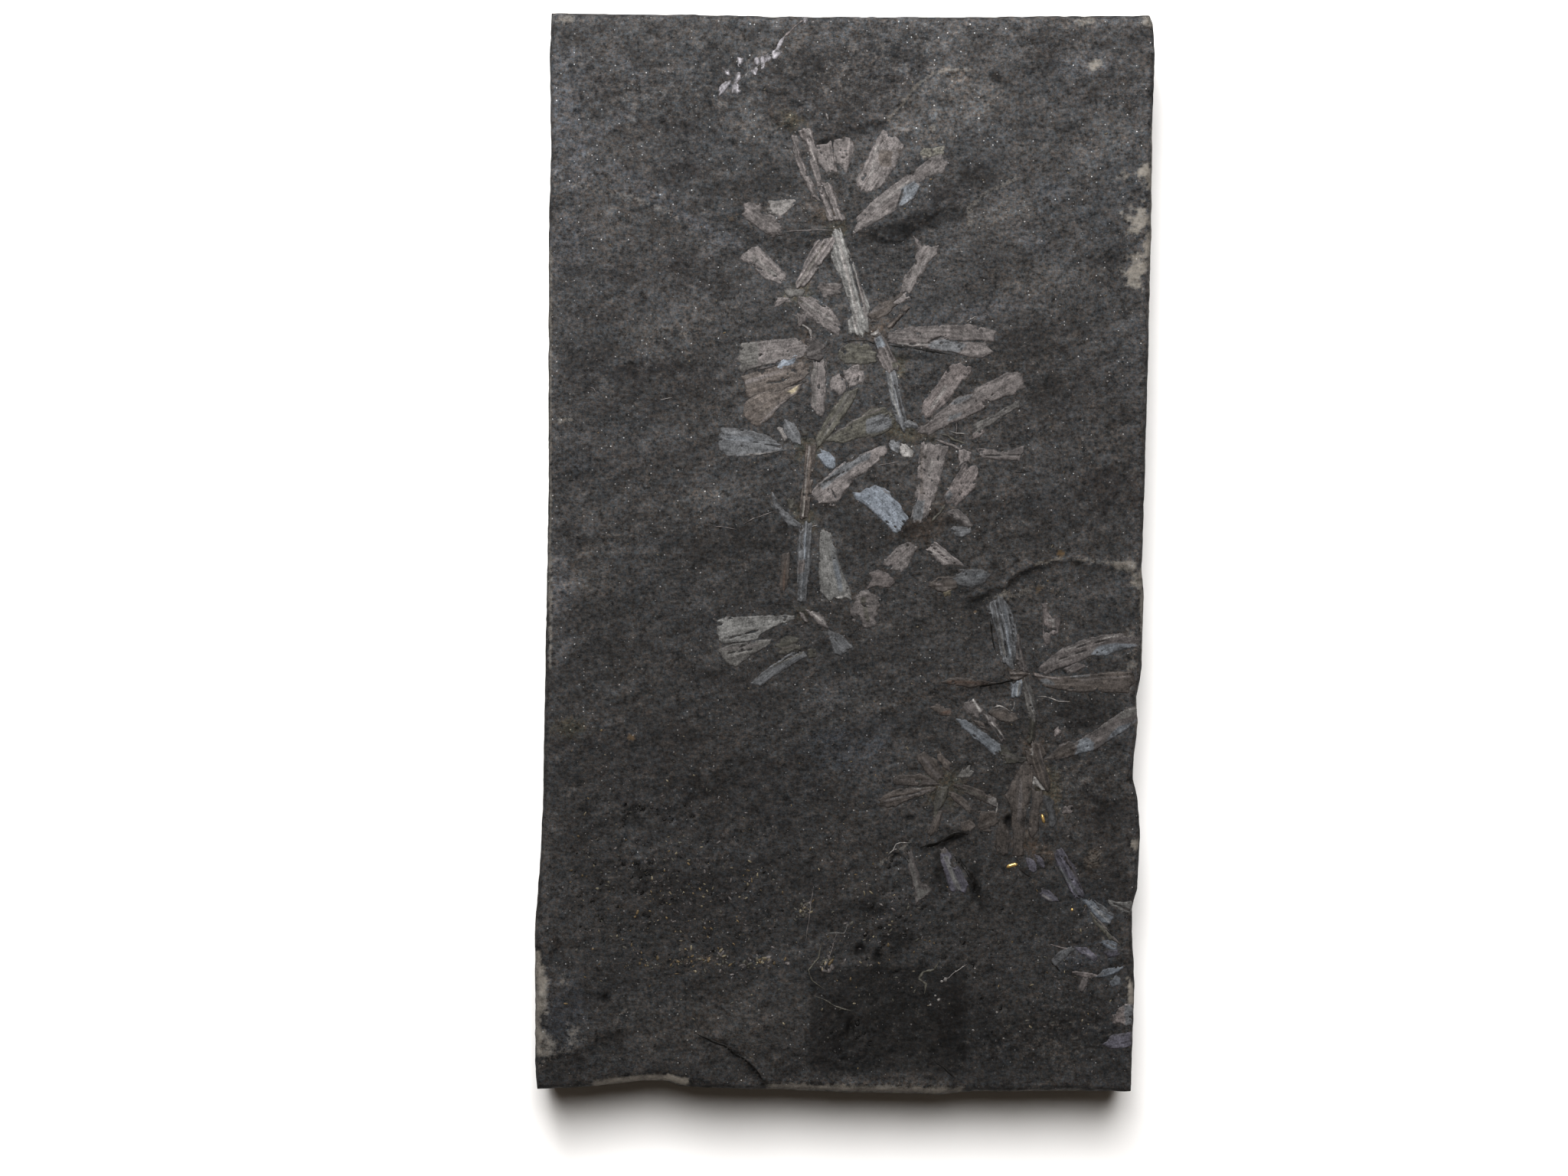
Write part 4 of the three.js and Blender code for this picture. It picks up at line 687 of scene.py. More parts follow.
# A whorl that lies open like a star, left of the right shoot
ROSETTE_LEAVES = [
    film("dim", [(9.6, -26.4), (10.4, -26.1), (12, -27.1), (12.9, -29.1), (12, -29.7), (10.9, -28.8),
        (9.8, -27.2)], streak("brown", 0.5, (10.4, -26.9), (12.6, -29.6)), light=0.84),
    film("dim", [(12.3, -25.6), (12.7, -26.4), (13.8, -27.5), (13.7, -28.3), (12.9, -27.8), (12.3, -26.9)],
        light=1.43),
    film("dim", [(6.2, -29.4), (7.3, -29), (9.8, -28.9), (12, -29.7), (12.3, -30.2), (9.5, -30.3),
        (6.6, -30)], streak("brown", 0.4, (7, -29.5), (11.4, -29.9))),
    film("dim", [(4.5, -32.2), (5.1, -31.6), (7, -30.8), (12, -30.6), (11, -31.3), (9.1, -31.7),
        (6.3, -33.1), (4.8, -32.8)], streak("tan", 0.3, (5.2, -32.4), (8.4, -31.6), (11.6, -30.8)),
        crack(0.1, (6, -31.9), (9.8, -31.2)), streak("light", 0.14, (8.2, -30.75), (9.9, -30.65)),
        light=0.97),
    film("olive", [(12.4, -30.6), (13.5, -30.6), (13.4, -31.6), (12.7, -33.1), (11.8, -34.1), (11.7, -32.5),
        (12, -31.3)], streak("grey", 0.3, (12.9, -31), (12.2, -33.4)), light=0.8),
    film("dim", [(11, -36.4), (12, -33.9), (12.6, -33.9), (12, -36.3), (11.3, -36.6)], light=0.94),
    film("dim", [(13.8, -31.1), (14.8, -31.4), (16, -32.5), (16.6, -33.5), (16.3, -33.9), (14, -31.9)],
        light=1.15),
    film("dim", [(14.5, -30.2), (16.3, -30.5), (18.2, -31.1), (19.9, -32.2), (19.9, -33.1), (15.1, -30.8)],
        patch("light", (18.7, -32.1), (19.6, -31.9), (20, -32.4), (19.9, -33.1), (19.1, -32.8)),
        streak("olive", 0.3, (15, -30.6), (18.4, -32)), light=0.9),
    film("dim", [(15.1, -35.2), (16.3, -34.8), (17.1, -35.5), (16.3, -36.3), (15.4, -36)],
        streak("tan", 0.3, (15.7, -35.4), (16.7, -35.7)), light=1.28),
    film("dim", [(17.3, -33.8), (19.5, -33.8), (20.1, -35), (18.8, -36.4), (17.6, -35.6)], wear=0.25,
        light=1.05),
    film("grey", [(14.9, -29.1), (15.4, -28.1), (16.2, -27.8), (16.6, -28.5), (16.3, -29.1)], wear=0.4,
        light=1.05),
]

# Two leaves below the rosette
TWIN_LEAVES = [
    film("lilac", [(12.5, -38.6), (13, -38.5), (14, -39.6), (13.6, -40.6), (14.5, -41.4), (14.8, -40.9),
        (16.1, -43.4), (15.7, -44.1), (14, -44.2), (12.7, -40.3)],
        patch("brown", (12.4, -38.4), (13.2, -38.4), (13.3, -39.2), (12.5, -39.2)),
        streak("pale", 0.6, (13.3, -39.8), (14.9, -43.8)), wear=0.1, calm=0.7, light=0.89),
    film("brown", [(8.1, -39.2), (8.7, -39.2), (10.1, -43.2), (11.3, -43.9), (10.9, -44.7), (9.3, -45.7),
        (9.2, -43.9), (8.4, -41.2)], streak("grey", 0.4, (8.5, -40), (9.5, -43.8)),
        patch("grey", (9.4, -43.8), (11.2, -44), (9.5, -45.4))),
]

# The small bluish shoot at the lower right
LOWER_STEMS = [
    stalk("lilac", [(27.4, -39), (28.3, -38.7), (29.9, -40.8), (31.3, -44.9), (30.2, -45.1), (27.7, -40.5)],
        crack(0.1, (28.2, -39.4), (29.5, -41), (30.9, -43.9)),
        streak("slate", 0.4, (28, -41), (30.4, -44.4)), streak("dim", 0.3, (28.8, -39.6), (30.8, -43.2)),
        light=0.95),
]

LOWER_LEAVES = [
    film("blue", [(31.1, -45.2), (32.2, -45.4), (33.6, -46.8), (35.2, -47.4), (34.7, -48.5), (33.6, -48.2)],
        streak("white", 0.3, (32.4, -46.1), (34.6, -48)), wear=0.05, light=0.9, calm=0.7),
    film("slate", [(32.7, -45.4), (35.1, -47.2), (34.9, -47.5), (33.4, -46.4)], light=1.15),
    film("olive", [(32.4, -47.1), (36, -51), (34.6, -50.2), (33, -48.6)],
        crack(0.1, (32.8, -47.8), (35, -49.9)), streak("tan", 0.2, (32.6, -47.2), (35.6, -50.6)),
        light=1.25),
    film("pale", [(34.4, -45.2), (35.5, -45.6), (37.3, -45.5), (37.4, -47), (35.2, -46.1)],
        crack(0.12, (35.2, -45.7), (37.2, -46.6)), light=0.95),
    film("blue", [(33.5, -50.7), (34.3, -50.5), (35.5, -51), (35.5, -51.8), (34.6, -51.5)],
        streak("light", 0.2, (34.2, -50.8), (35.3, -51.4)), light=0.82),
    film("lilac", [(34, -51.9), (35.4, -51.9), (36, -52.4), (34.6, -52.7)], soft=0.6, light=0.8),
    film("lilac", [(30.1, -51.5), (31.5, -51.6), (32.9, -52.7), (32.7, -53.2), (31.1, -52.4)],
        streak("light", 0.14, (31.2, -51.9), (32.4, -52.8)), light=1.2),
    film("slate", [(27.1, -53.2), (28, -52.2), (29.6, -51.4), (30.1, -51.6), (29, -52.7), (27.7, -53.6)],
        wear=0.1, light=1.2, calm=0.7),
    film("pink", [(29.7, -54.7), (30.4, -54.6), (32.8, -55.1), (32.1, -55.4), (30.4, -55.1)], light=1.3),
    film("blue", [(33, -55.2), (34, -54.4), (36.3, -54), (35.5, -54.7), (33.6, -55.4)],
        streak("light", 0.2, (33.1, -55), (33.8, -54.8)), light=0.8),
    film("tan", [(30.7, -56.9), (31.1, -55.5), (31.8, -55.7), (31.1, -57.2)], light=0.92),
    film("steel", [(34.7, -56), (35.4, -55.2), (36, -55.6), (35.8, -56.3), (35, -56.5)], light=1),
    film("pink", [(35.2, -60.3), (36.1, -59.3), (37.6, -59), (37.6, -61.5), (35.2, -61.5)],
        patch("slate", (36.6, -59.1), (37.7, -59), (37.7, -61.6), (36.8, -61.6)), soft=0.4, wear=0.3,
        light=1.35),
    film("lilac", [(34, -64.1), (35.2, -62.9), (37.6, -62.6), (37.6, -64.3), (35.2, -64.7)], soft=0.4,
        wear=0.05, light=1.4, calm=0.6),
    film("lilac", [(23.8, -39.9), (24.5, -40), (25.2, -41), (24.9, -41.8), (24.2, -41.4)], wear=0.3,
        light=1.15),
    film("lilac", [(24.9, -39.3), (25.6, -39.5), (26, -40.3), (25.8, -40.9), (25.3, -40.3)], wear=0.4,
        light=0.99),
    film("lilac", [(25.5, -44), (26.8, -44.1), (27.9, -45.2), (26.9, -45.5), (26, -44.9)],
        streak("light", 0.25, (25.9, -44.6), (27, -45.3)), wear=0.3, light=0.95),
]

# Fine threads on the face, as tint, width and line
THREADS = [
    ("light", 0.16, (-24.2, 20.2), (-22.6, 20.5)),
    ("tan", 0.16, (-33.6, 21.9), (-32.8, 21.7), (-32.4, 20.9)),
    ("light", 0.26, (-2.5, 57.6), (-2.2, 56.7)),
    ("tan", 0.2, (-8.2, 42), (-5, 42.3), (-1.5, 42.3)),
    ("light", 0.2, (-6.9, 31.4), (-6.2, 31), (-6, 30.2), (-5.2, 29.7), (-4.7, 29.3), (-4.4, 28.3)),
    ("light", 0.16, (15.9, 30.3), (17.2, 31.1)),
    ("light", 0.18, (13.7, 16.1), (15.7, 15.6)),
    ("tan", 0.12, (14.5, 17.3), (14.6, 15.4)),
    ("olive", 0.3, (12.3, 15.6), (13.4, 15.4), (14.2, 14.8), (15.9, 14.4)),
    ("tan", 0.34, (11.8, 15), (13, 14.6), (14, 14.2), (14.9, 13.7), (15.6, 13.9)),
    ("olive", 0.4, (13, 6.5), (12.4, 5.3), (11.4, 4.2)),
    ("tan", 0.16, (4.1, 11.5), (7.1, 12.1)),
    ("tan", 0.14, (-13.8, 3.7), (-12.2, 4.4), (-10.7, 5.1), (-8.9, 5.7)),
    ("tan", 0.12, (-17.1, 3.6), (-14.2, 3.2)),
    ("light", 0.14, (-5.2, 3.7), (-4.4, 3.5), (-3.6, 3.8)),
    ("tan", 0.2, (-5.8, -9.7), (-5.4, -9.4)),
    ("light", 0.18, (25.1, -18.6), (26.2, -18.7), (27.2, -19), (28, -19.3), (29.5, -19.3)),
    ("light", 0.22, (19.5, -20), (20.2, -19.9), (21, -20.2), (21.7, -20.6)),
    ("light", 0.14, (22.1, -19.3), (22.2, -19.9), (22, -20.4)),
    ("tan", 0.1, (25.7, -33.3), (26.7, -33.9)),
    ("light", 0.16, (5.6, -39.5), (6.4, -38.8), (6.7, -38), (7.3, -37.8), (8.5, -37.8)),
    ("light", 0.2, (20, -32.5), (20, -33.2), (19.8, -34)),
    ("tan", 0.14, (-4.1, -43.5), (-4.6, -47.3), (-5.2, -51)),
    ("light", 0.24, (-6, 30.2), (-5, 29.7), (-4.5, 29.3), (-4.4, 28.2), (-4.6, 27.6)),
    ("olive", 0.3, (12.5, -53), (11.6, -54.4), (10.2, -54.7), (9.6, -55.6), (10.6, -56.3), (10.4, -57.6)),
    ("olive", 0.2, (-2.9, -50.4), (-3.4, -53), (-4.8, -54.4), (-4.2, -55.8), (-2.6, -57)),
    ("pale", 0.12, (-2.3, -49.7), (-0.1, -49.6), (0.3, -48.4)),
    ("tan", 0.14, (-1.1, -49.5), (-1.9, -52.2), (-3, -54.8)),
    ("olive", 0.2, (-4, -57.7), (-1.8, -58.9), (-0.3, -59.5), (1.2, -59.9)),
    ("light", 0.13, (12.8, -55.2), (13.5, -55.5), (14.2, -54.9), (15, -54.3), (16, -53.6)),
    ("tan", 0.12, (31, -47), (32, -45)),
    ("pink", 0.2, (26.9, -51.1), (28.2, -51.4), (29.4, -51.6)),
]

# Dark open cracks in the stone, as width and line, and one painted shadow below the torn step at the lower
# left
CRACKS_AND_STEP_SHADOW = [
    (0.3, (5.5, 27.3), (8.6, 27), (11.6, 26.5), (14, 26.1)),
    (0.26, (17.5, -17.3), (18.8, -17.1), (21.3, -16.6), (22.8, -16.3)),
    (0.5, (9.9, -38.4), (11, -38), (12, -37.9), (13.6, -37), (14.3, -36.6), (15.1, -36.4), (16.1, -36.7)),
    (0.5, (14.3, -39.3), (15, -40.1), (15.7, -41), (16.4, -41.9), (16.9, -42.8), (16.9, -43.9)),
    (0.16, (22.8, -41.2), (23.6, -41.9), (24.4, -42.3)),
    (0.24, (11.7, -66.2), (13.2, -67.5), (14.3, -68.5)),
    # a painted shadow below the torn step at the lower left
    (0.36, (-19.7, -62.7), (-17.4, -63.8), (-15.9, -64.3), (-13.2, -66.1), (-12, -67), (-10.9, -68.6),
        (-10.1, -69.6)),
    (0.22, (27, -53.4), (27.7, -53.9), (28.1, -54.6)),
    (0.16, (-9.1, 21.3), (-7.7, 21.8), (-5, 22.6)),
    (0.14, (-0.6, 27.7), (2.8, 27.9), (4.4, 27.2)),
    (0.16, (22.2, 10.7), (24.1, 10.8)),
    (0.2, (19, -8.6), (19.2, -10.8), (19.8, -12.8)),
]

# The white vein at the upper edge, as powdery blobs and threads
VEIN_BLOBS = [
    [(-16.4, 60), (-15.8, 60.3), (-15.3, 61), (-15.1, 61.6), (-15.7, 61.5), (-16.4, 60.8)],
    [(-14.7, 60.4), (-14.2, 60.3), (-13.6, 60.7), (-13.7, 61.6), (-13.5, 62.5), (-13.8, 63.1),
        (-14.3, 62.5),
     (-14.5, 61.8), (-14.8, 61.1)],
    [(-15.8, 63.3), (-15.2, 63.5), (-15.1, 62.6), (-15.5, 62.6)],
    [(-13.9, 64.6), (-13.3, 64.6), (-13.3, 64), (-13.8, 64)],
    [(-12.3, 63.4), (-11.6, 63.5), (-11.6, 63), (-12.2, 62.9)],
    [(-11.7, 64.6), (-11.2, 64.4), (-11.3, 63.6), (-11.8, 63.7)],
    [(-11, 64.8), (-10, 65.5), (-9.8, 64.6), (-10.4, 63.7), (-10.8, 63.5), (-10.9, 64.2)],
    [(-9.5, 65.6), (-9, 66), (-8.4, 66.1), (-8.5, 65.1), (-9, 64.7), (-9.5, 65)],
    [(-5.5, 70.3), (-4.9, 70.3), (-4.9, 69.5), (-5.4, 69.5)],
]
VEIN_THREADS = [
    ("quartz", 0.36, (-8.9, 65.6), (-8.4, 66.8), (-7.9, 67.7)),
    ("pink", 0.26, (-8, 67.6), (-7.2, 68.2), (-6.5, 69), (-5.9, 69.5), (-5.1, 70.1)),
    ("pale", 0.2, (-13, 64.8), (-12.7, 63), (-12.9, 62.3)),
    ("pale", 0.12, (-10.1, 65.2), (-9.6, 65.3), (-9.2, 65.6)),
    ("pale", 0.12, (-13.6, 62), (-12.6, 63), (-11.8, 63.3), (-11, 64)),
]

# White crystals, as place and half size
CRYSTALS = [
    (13.2, -55.7, 0.3), (12.7, -55.9, 0.22), (11.9, -57.8, 0.2), (12.3, -58.3, 0.26), (11.2, -59, 0.2),
    (14.5, -54.6, 0.14), (15.4, -54, 0.14), (17, -40.3, 0.2), (20, -52.3, 0.16), (19.9, -60, 0.22),
    (16.8, -62.3, 0.18), (20.8, -63.4, 0.18), (8.7, -61.6, 0.16), (31.2, -62.1, 0.14), (29.2, -36.9, 0.18),
    (34.4, 22.6, 0.2), (34.6, 23.8, 0.16), (22.7, -21, 0.14), (22.3, -10.3, 0.18), (-9.5, -60.4, 0.14),
    (-28, -18, 0.14),
]

# Gold flecks, as their two ends and half width
GOLD = [
    ((21.2, -41.1), (22.55, -40.45), 0.26),
    ((25.8, -34), (26.15, -35.2), 0.2),
    ((29.7, -46.3), (29.8, -46.7), 0.2),
]

# Loose bright grains of mica over the whole face, their pale tint a painted glint
GRAINS = 650
GRAIN_SIZES = (0.035, 0.08)
GRAIN_TINTS = ["pale", "light", "light", "white"]

# Tan flecks: how far from the plate's middle they reach, and how they spread over their boxes
FLECK_REACH = (37.5, 68)
FLECK_SPREAD = 0.27
FLECK_TINTS = ["tan", "straw", "olive", "olive", "brown", "ochre"]

# The stone's texture, as scales per metre, and how strongly each overlay covers it
GRAIN_SCALE = 1900
FABRIC_SCALE = 900
BROAD_SCALE = 700
CAST_SCALE = 2600
DUST_AND_STEP_LIGHT_COVER = 0.85
RUST_COVER = 0.7
SAWN_COVER = 0.75
STONE_GLOSS = 0.16
FILM_GLOSS = 0.2

# Specks of mica, painted pale as glints: scale per metre, size in a cell, the share of cells without one,
# brightness and cover
MICA_SCALE = 1700
MICA_SIZE = 0.16
MICA_FREE = 0.82
MICA_GLINT_LIGHT = (0.07, 0.34)
MICA_COVER = 0.72

# Colours of the stone: dark and light grain, warm and cool casts, dust with painted step light, rust and sawn
# stone
GRAIN_DARK = (0.009, 0.009, 0.009, 1)
GRAIN_LIGHT = (0.068, 0.0672, 0.067, 1)
WARM_CAST = (1.13, 0.99, 0.90, 1)
COOL_CAST = (0.90, 1.0, 1.10, 1)
DUST_AND_STEP_LIGHT_COLOR = (0.29, 0.27, 0.24, 1)
RUST_COLOR = (0.12, 0.08, 0.04, 1)
SAWN_DARK = (0.026, 0.025, 0.0255, 1)
SAWN_LIGHT = (0.052, 0.050, 0.050, 1)
FLOOR_DARK = (0.88, 0.88, 0.88, 1)
FLOOR_LIGHT = (0.91, 0.91, 0.91, 1)

# Camera, straight above the face and this far from it
CAMERA_HEIGHT = 398.2
CAMERA_PLACE = (-7.95, -4.45, PLATE_THICKNESS + 0.3 + CAMERA_HEIGHT)
LENS = 70
SENSOR = 36
GAMMA = 0.8

# Light: a wide sun and a small panel beyond the upper edge, and a surround that is brighter low down
SUN_POWER = 3.95
SUN_ANGLE = 34
SUN_WAY = (0, 0.58, 1)
LAMP_COLOR = (1.0, 0.99, 0.98)
PANEL_POWER = 0.5
PANEL_SIZE = 0.12  # in metres
PANEL_PLACE = (-40, 150, 180)
PANEL_WAY = (-40, 90, 167)
SURROUND_COLOR = (1.0, 0.82, 0.65, 1)
SURROUND_BAND = (0.05, 0.35)
SURROUND_LIGHT = (0.66, 0.06)
FLOOR_REACH = 6000
FLOOR_DROP = 0.05


def smooth(low, high, value):
    """0 below low, 1 above high, and a soft ramp between."""
    share = np.clip((value - low) / (high - low), 0, 1)
    return share * share * (3 - 2 * share)


def noise(x, y, size, seed):
    """Smooth noise from -1 to 1, with lumps about size mm across."""
    cells = 128
    table = np.random.default_rng(seed).uniform(-1, 1, (cells, cells))
    gx, gy = np.asarray(x) / size + 1000, np.asarray(y) / size + 1000
    ix, iy = np.floor(gx).astype(int), np.floor(gy).astype(int)
    fx, fy = smooth(0, 1, gx - ix), smooth(0, 1, gy - iy)
    ix, iy = ix % cells, iy % cells
    jx, jy = (ix + 1) % cells, (iy + 1) % cells
    near = table[ix, iy] * (1 - fx) + table[jx, iy] * fx
    far = table[ix, jy] * (1 - fx) + table[jx, jy] * fx
    return near * (1 - fy) + far * fy


def turned(x, y, degrees):
    """The same places in axes turned counterclockwise by degrees."""
    c, s = math.cos(math.radians(degrees)), math.sin(math.radians(degrees))
    return x * c + y * s, y * c - x * s


def line_distance(x, y, line):
    """Distance to a broken line."""
    nearest = np.full(np.shape(x), FAR)
    for (ax, ay), (bx, by) in zip(line, line[1:]):
        ux, uy = bx - ax, by - ay
        share = np.clip(((x - ax) * ux + (y - ay) * uy) / max(ux * ux + uy * uy, TINY), 0, 1)
        nearest = np.minimum(nearest, np.hypot(x - ax - share * ux, y - ay - share * uy))
    return nearest


def depth_inside(x, y, outline):
    """Distance to an outline, positive inside it."""
    closed = list(outline) + [outline[0]]
    inside = np.zeros(np.shape(x), bool)
    for (ax, ay), (bx, by) in zip(closed, closed[1:]):
        crosses = (ay > y) != (by > y)
        rise = by - ay if abs(by - ay) > TINY else TINY
        inside ^= crosses & (x < (bx - ax) * (y - ay) / rise + ax)
    distance = line_distance(x, y, closed)
    return np.where(inside, distance, -distance)


def box_depth(x, y, box):
    """Distance to a box's sides, positive inside it."""
    x0, y0, x1, y1 = box
    return np.minimum(np.minimum(x - x0, x1 - x), np.minimum(y - y0, y1 - y))


def reach(edge, place):
    """How far out the stone reaches at a place along an edge."""
    return np.interp(place, *np.transpose(edge))


def nearness(x, y, px, py, half_width, half_height, degrees=0):
    """Distance from the middle of an oval spot, where 1 is its rim."""
    tx, ty = turned(x - px, y - py, degrees)
    return np.hypot(tx / half_width, ty / half_height)


def plan(u, v):
    """The place in plan of a point a share u across and v up the face."""
    x, y = (u - 0.5) * PLATE_WIDTH, (v - 0.5) * PLATE_HEIGHT
    left, right = -reach(LEFT_EDGE, y), reach(RIGHT_EDGE, y)
    lower, upper = -reach(LOWER_EDGE, x), reach(UPPER_EDGE, x)
    return left + (right - left) * u, lower + (upper - lower) * v


def shares(x, y):
    """The reverse of plan: how far across and up the face a place lies."""
    u, v = x / PLATE_WIDTH + 0.5, y / PLATE_HEIGHT + 0.5
    for _ in range(4):
        px, py = (u - 0.5) * PLATE_WIDTH, (v - 0.5) * PLATE_HEIGHT
        left, lower = reach(LEFT_EDGE, py), reach(LOWER_EDGE, px)
        u = (x + left) / (left + reach(RIGHT_EDGE, py))
        v = (y + lower) / (lower + reach(UPPER_EDGE, px))
    return u, v


def lamina_height(x, y, line, rises, back):
    """Height of the stone behind a torn line: full at the line, buried at the end of the way back."""
    length = math.hypot(*back)
    bx, by = back[0] / length, back[1] / length
    across = [px * by - py * bx for px, py in line]
    along = [px * bx + py * by for px, py in line]
    order = np.argsort(across)
    place = x * by - y * bx
    at = np.take(across, order)
    ragged = 0.45 * noise(x, y, 1.9, 11) + 0.3 * noise(x, y, 0.8, 12)
    behind = x * bx + y * by - np.interp(place, at, np.take(along, order)) + ragged
    rise = np.interp(place, at, np.take(rises, order)) * (1 + 0.5 * noise(x, y, 1.5, 13))
    ends = smooth(0, 2.2, np.minimum(place - at[0], at[-1] - place) + 0.6)
    slope = rise * (1 - np.clip(behind / length, 0, 1) ** 1.5)
    return slope * smooth(-0.35, 0.25, behind) * ends


def pit_places():
    """Every pit: the named ones and the seeded fields of small ones."""
    random = np.random.default_rng(21)
    pits = list(PITS)
    for (x0, y0, x1, y1), count in PIT_FIELDS:
        for _ in range(count):
            size = random.uniform(*PIT_SIZES)
            place = random.uniform(x0, x1), random.uniform(y0, y1)
            pits.append((*place, size, size * random.uniform(0.6, 1.2), size))
    return pits


ALL_PITS = pit_places()


def coarseness(x, y):
    """0 on the smooth part of the face, and 1 on the coarser stone near its upper edge."""
    return smooth(COARSE_FROM, COARSE_FULL, y + 4 * noise(x, y, 9.0, 7))


def face_height(x, y):
    """The split face of the stone, with its swells, torn laminae, pits and grain."""
    height = PLATE_THICKNESS - SWELL
    for share, across, up, phase in SWELLS:
        height = height + SWELL * share * np.sin(across * x + up * y + phase)
    raised = np.zeros(np.shape(x))
    for line, rises, back in LAMINAE:
        raised = np.maximum(raised, lamina_height(x, y, line, rises, back))
    fx, fy = turned(x, y, FABRIC_TURN)
    height = height + raised
    coarse = 1 + 1.2 * coarseness(x, y)
    height = height + 0.13 * noise(x, y, 7.0, 1) + 0.07 * noise(x, y, 2.6, 2)
    height = height + 0.04 * noise(fx / 3, fy, 0.9, 3) + 0.035 * coarse * noise(x, y, 0.85, 4)
    for px, py, half_width, half_height, depth in ALL_PITS:
        near = nearness(x, y, px, py, half_width, half_height)
        height = height - depth * (1 - smooth(0.35, 1.15, near))
    return height


def arris_drop(x, y, rim):
    """How far the worn edge of the face has fallen away, by the distance to the rim."""
    chip = 1 + 0.5 * noise(x, y, 2.3, 5) + 0.4 * noise(x, y, 0.9, 6)
    for line, half_width, strength in PALE_LINES[:CHIPPED]:
        chip = chip + 1.4 * strength * (1 - smooth(half_width, half_width + 0.8, line_distance(x, y, line)))
    return ARRIS_DROP * np.clip(1 - rim / (ARRIS_REACH * chip), 0, 1) ** 2 * np.clip(chip, 0.3, 2.2)


COLUMNS = BACK_COLUMNS * FINER
ROWS = BACK_ROWS * FINER
SHARE_U, SHARE_V = np.meshgrid(np.linspace(0, 1, COLUMNS + 1), np.linspace(0, 1, ROWS + 1), indexing="ij")
FACE_X, FACE_Y = plan(SHARE_U, SHARE_V)
RIM = np.minimum(
    np.minimum(SHARE_U, 1 - SHARE_U) * PLATE_WIDTH,
    np.minimum(SHARE_V, 1 - SHARE_V) * PLATE_HEIGHT,
)
FACE_Z = face_height(FACE_X, FACE_Y) - arris_drop(FACE_X, FACE_Y, RIM)


def ground(x, y):
    """Height of the stone's mesh under a place."""
    u, v = shares(x, y)
    gx, gy = np.clip(u, 0, 1) * COLUMNS, np.clip(v, 0, 1) * ROWS
    ix, iy = np.minimum(gx.astype(int), COLUMNS - 1), np.minimum(gy.astype(int), ROWS - 1)
    fx, fy = gx - ix, gy - iy
    near = FACE_Z[ix, iy] * (1 - fx) + FACE_Z[ix + 1, iy] * fx
    far = FACE_Z[ix, iy + 1] * (1 - fx) + FACE_Z[ix + 1, iy + 1] * fx
    return near * (1 - fy) + far * fy


def blurred(field, passes):
    """A field softened by repeated averaging with its neighbours."""
    for _ in range(passes):
        wide = np.pad(field, 1, mode="edge")
        field = (wide[:-2, 1:-1] + wide[2:, 1:-1] + wide[1:-1, :-2] + wide[1:-1, 2:] + 2 * field) / 6
    return field


def make_mesh(name, places, faces, numbers=None, colors=None):
    """A mesh piece from places in mm and triangles, with its point attributes, riding on the plate's body."""
    mesh = bpy.data.meshes.new(name)
    mesh.vertices.add(len(places))
    mesh.vertices.foreach_set("co", (np.asarray(places) * MM).astype(np.float32).ravel())
    mesh.loops.add(len(faces) * 3)
    mesh.loops.foreach_set("vertex_index", np.asarray(faces, np.int32).ravel())
    mesh.polygons.add(len(faces))
    mesh.polygons.foreach_set("loop_start", np.arange(len(faces), dtype=np.int32) * 3)
    mesh.polygons.foreach_set("use_smooth", np.ones(len(faces), bool))
    mesh.update(calc_edges=True)
    for key, values in (numbers or {}).items():
        kept = mesh.attributes.new(key, "FLOAT", "POINT")
        kept.data.foreach_set("value", np.asarray(values, np.float32).ravel())
    for key, values in (colors or {}).items():
        kept = mesh.attributes.new(key, "FLOAT_COLOR", "POINT")
        filled = np.column_stack([values, np.ones(len(values))])
        kept.data.foreach_set("color", filled.astype(np.float32).ravel())
    piece = bpy.data.objects.new(name, mesh)
    bpy.context.scene.collection.objects.link(piece)
    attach(piece, BODY)
    return piece


def split(quads):
    """Each four-cornered face as two triangles."""
    quads = np.asarray(quads).reshape(-1, 4)
    return np.concatenate([quads[:, [0, 1, 2]], quads[:, [0, 2, 3]]])


def grid_faces(columns, rows, start, flip):
    """Triangles of a grid of points counted from start, up each column in turn."""
    i, j = np.meshgrid(np.arange(columns), np.arange(rows), indexing="ij")
    corner = start + i * (rows + 1) + j
    quads = np.stack([corner, corner + rows + 1, corner + rows + 2, corner + 1], axis=-1)
    return split(quads[..., ::-1] if flip else quads)


def rim_steps(columns, rows):
    """Grid places round the rim, counterclockwise from the lower left corner."""
    return np.array(
        [(i, 0) for i in range(columns)]
        + [(columns, j) for j in range(rows)]
        + [(i, rows) for i in range(columns, 0, -1)]
        + [(0, j) for j in range(rows, 0, -1)]
    )


def dust_and_light_falloff(y):
    """The face is paler towards its upper edge: partly dust, partly painted light that falls off from the
    lamps beyond that edge.
    """
    return 1.05 + 0.0045 * y


def tinted(veil, hue, mask):
    """A veil with a hue laid over it where the mask says."""
    return veil * (1 + (np.array(HUES[hue]) - 1) * mask[..., None])


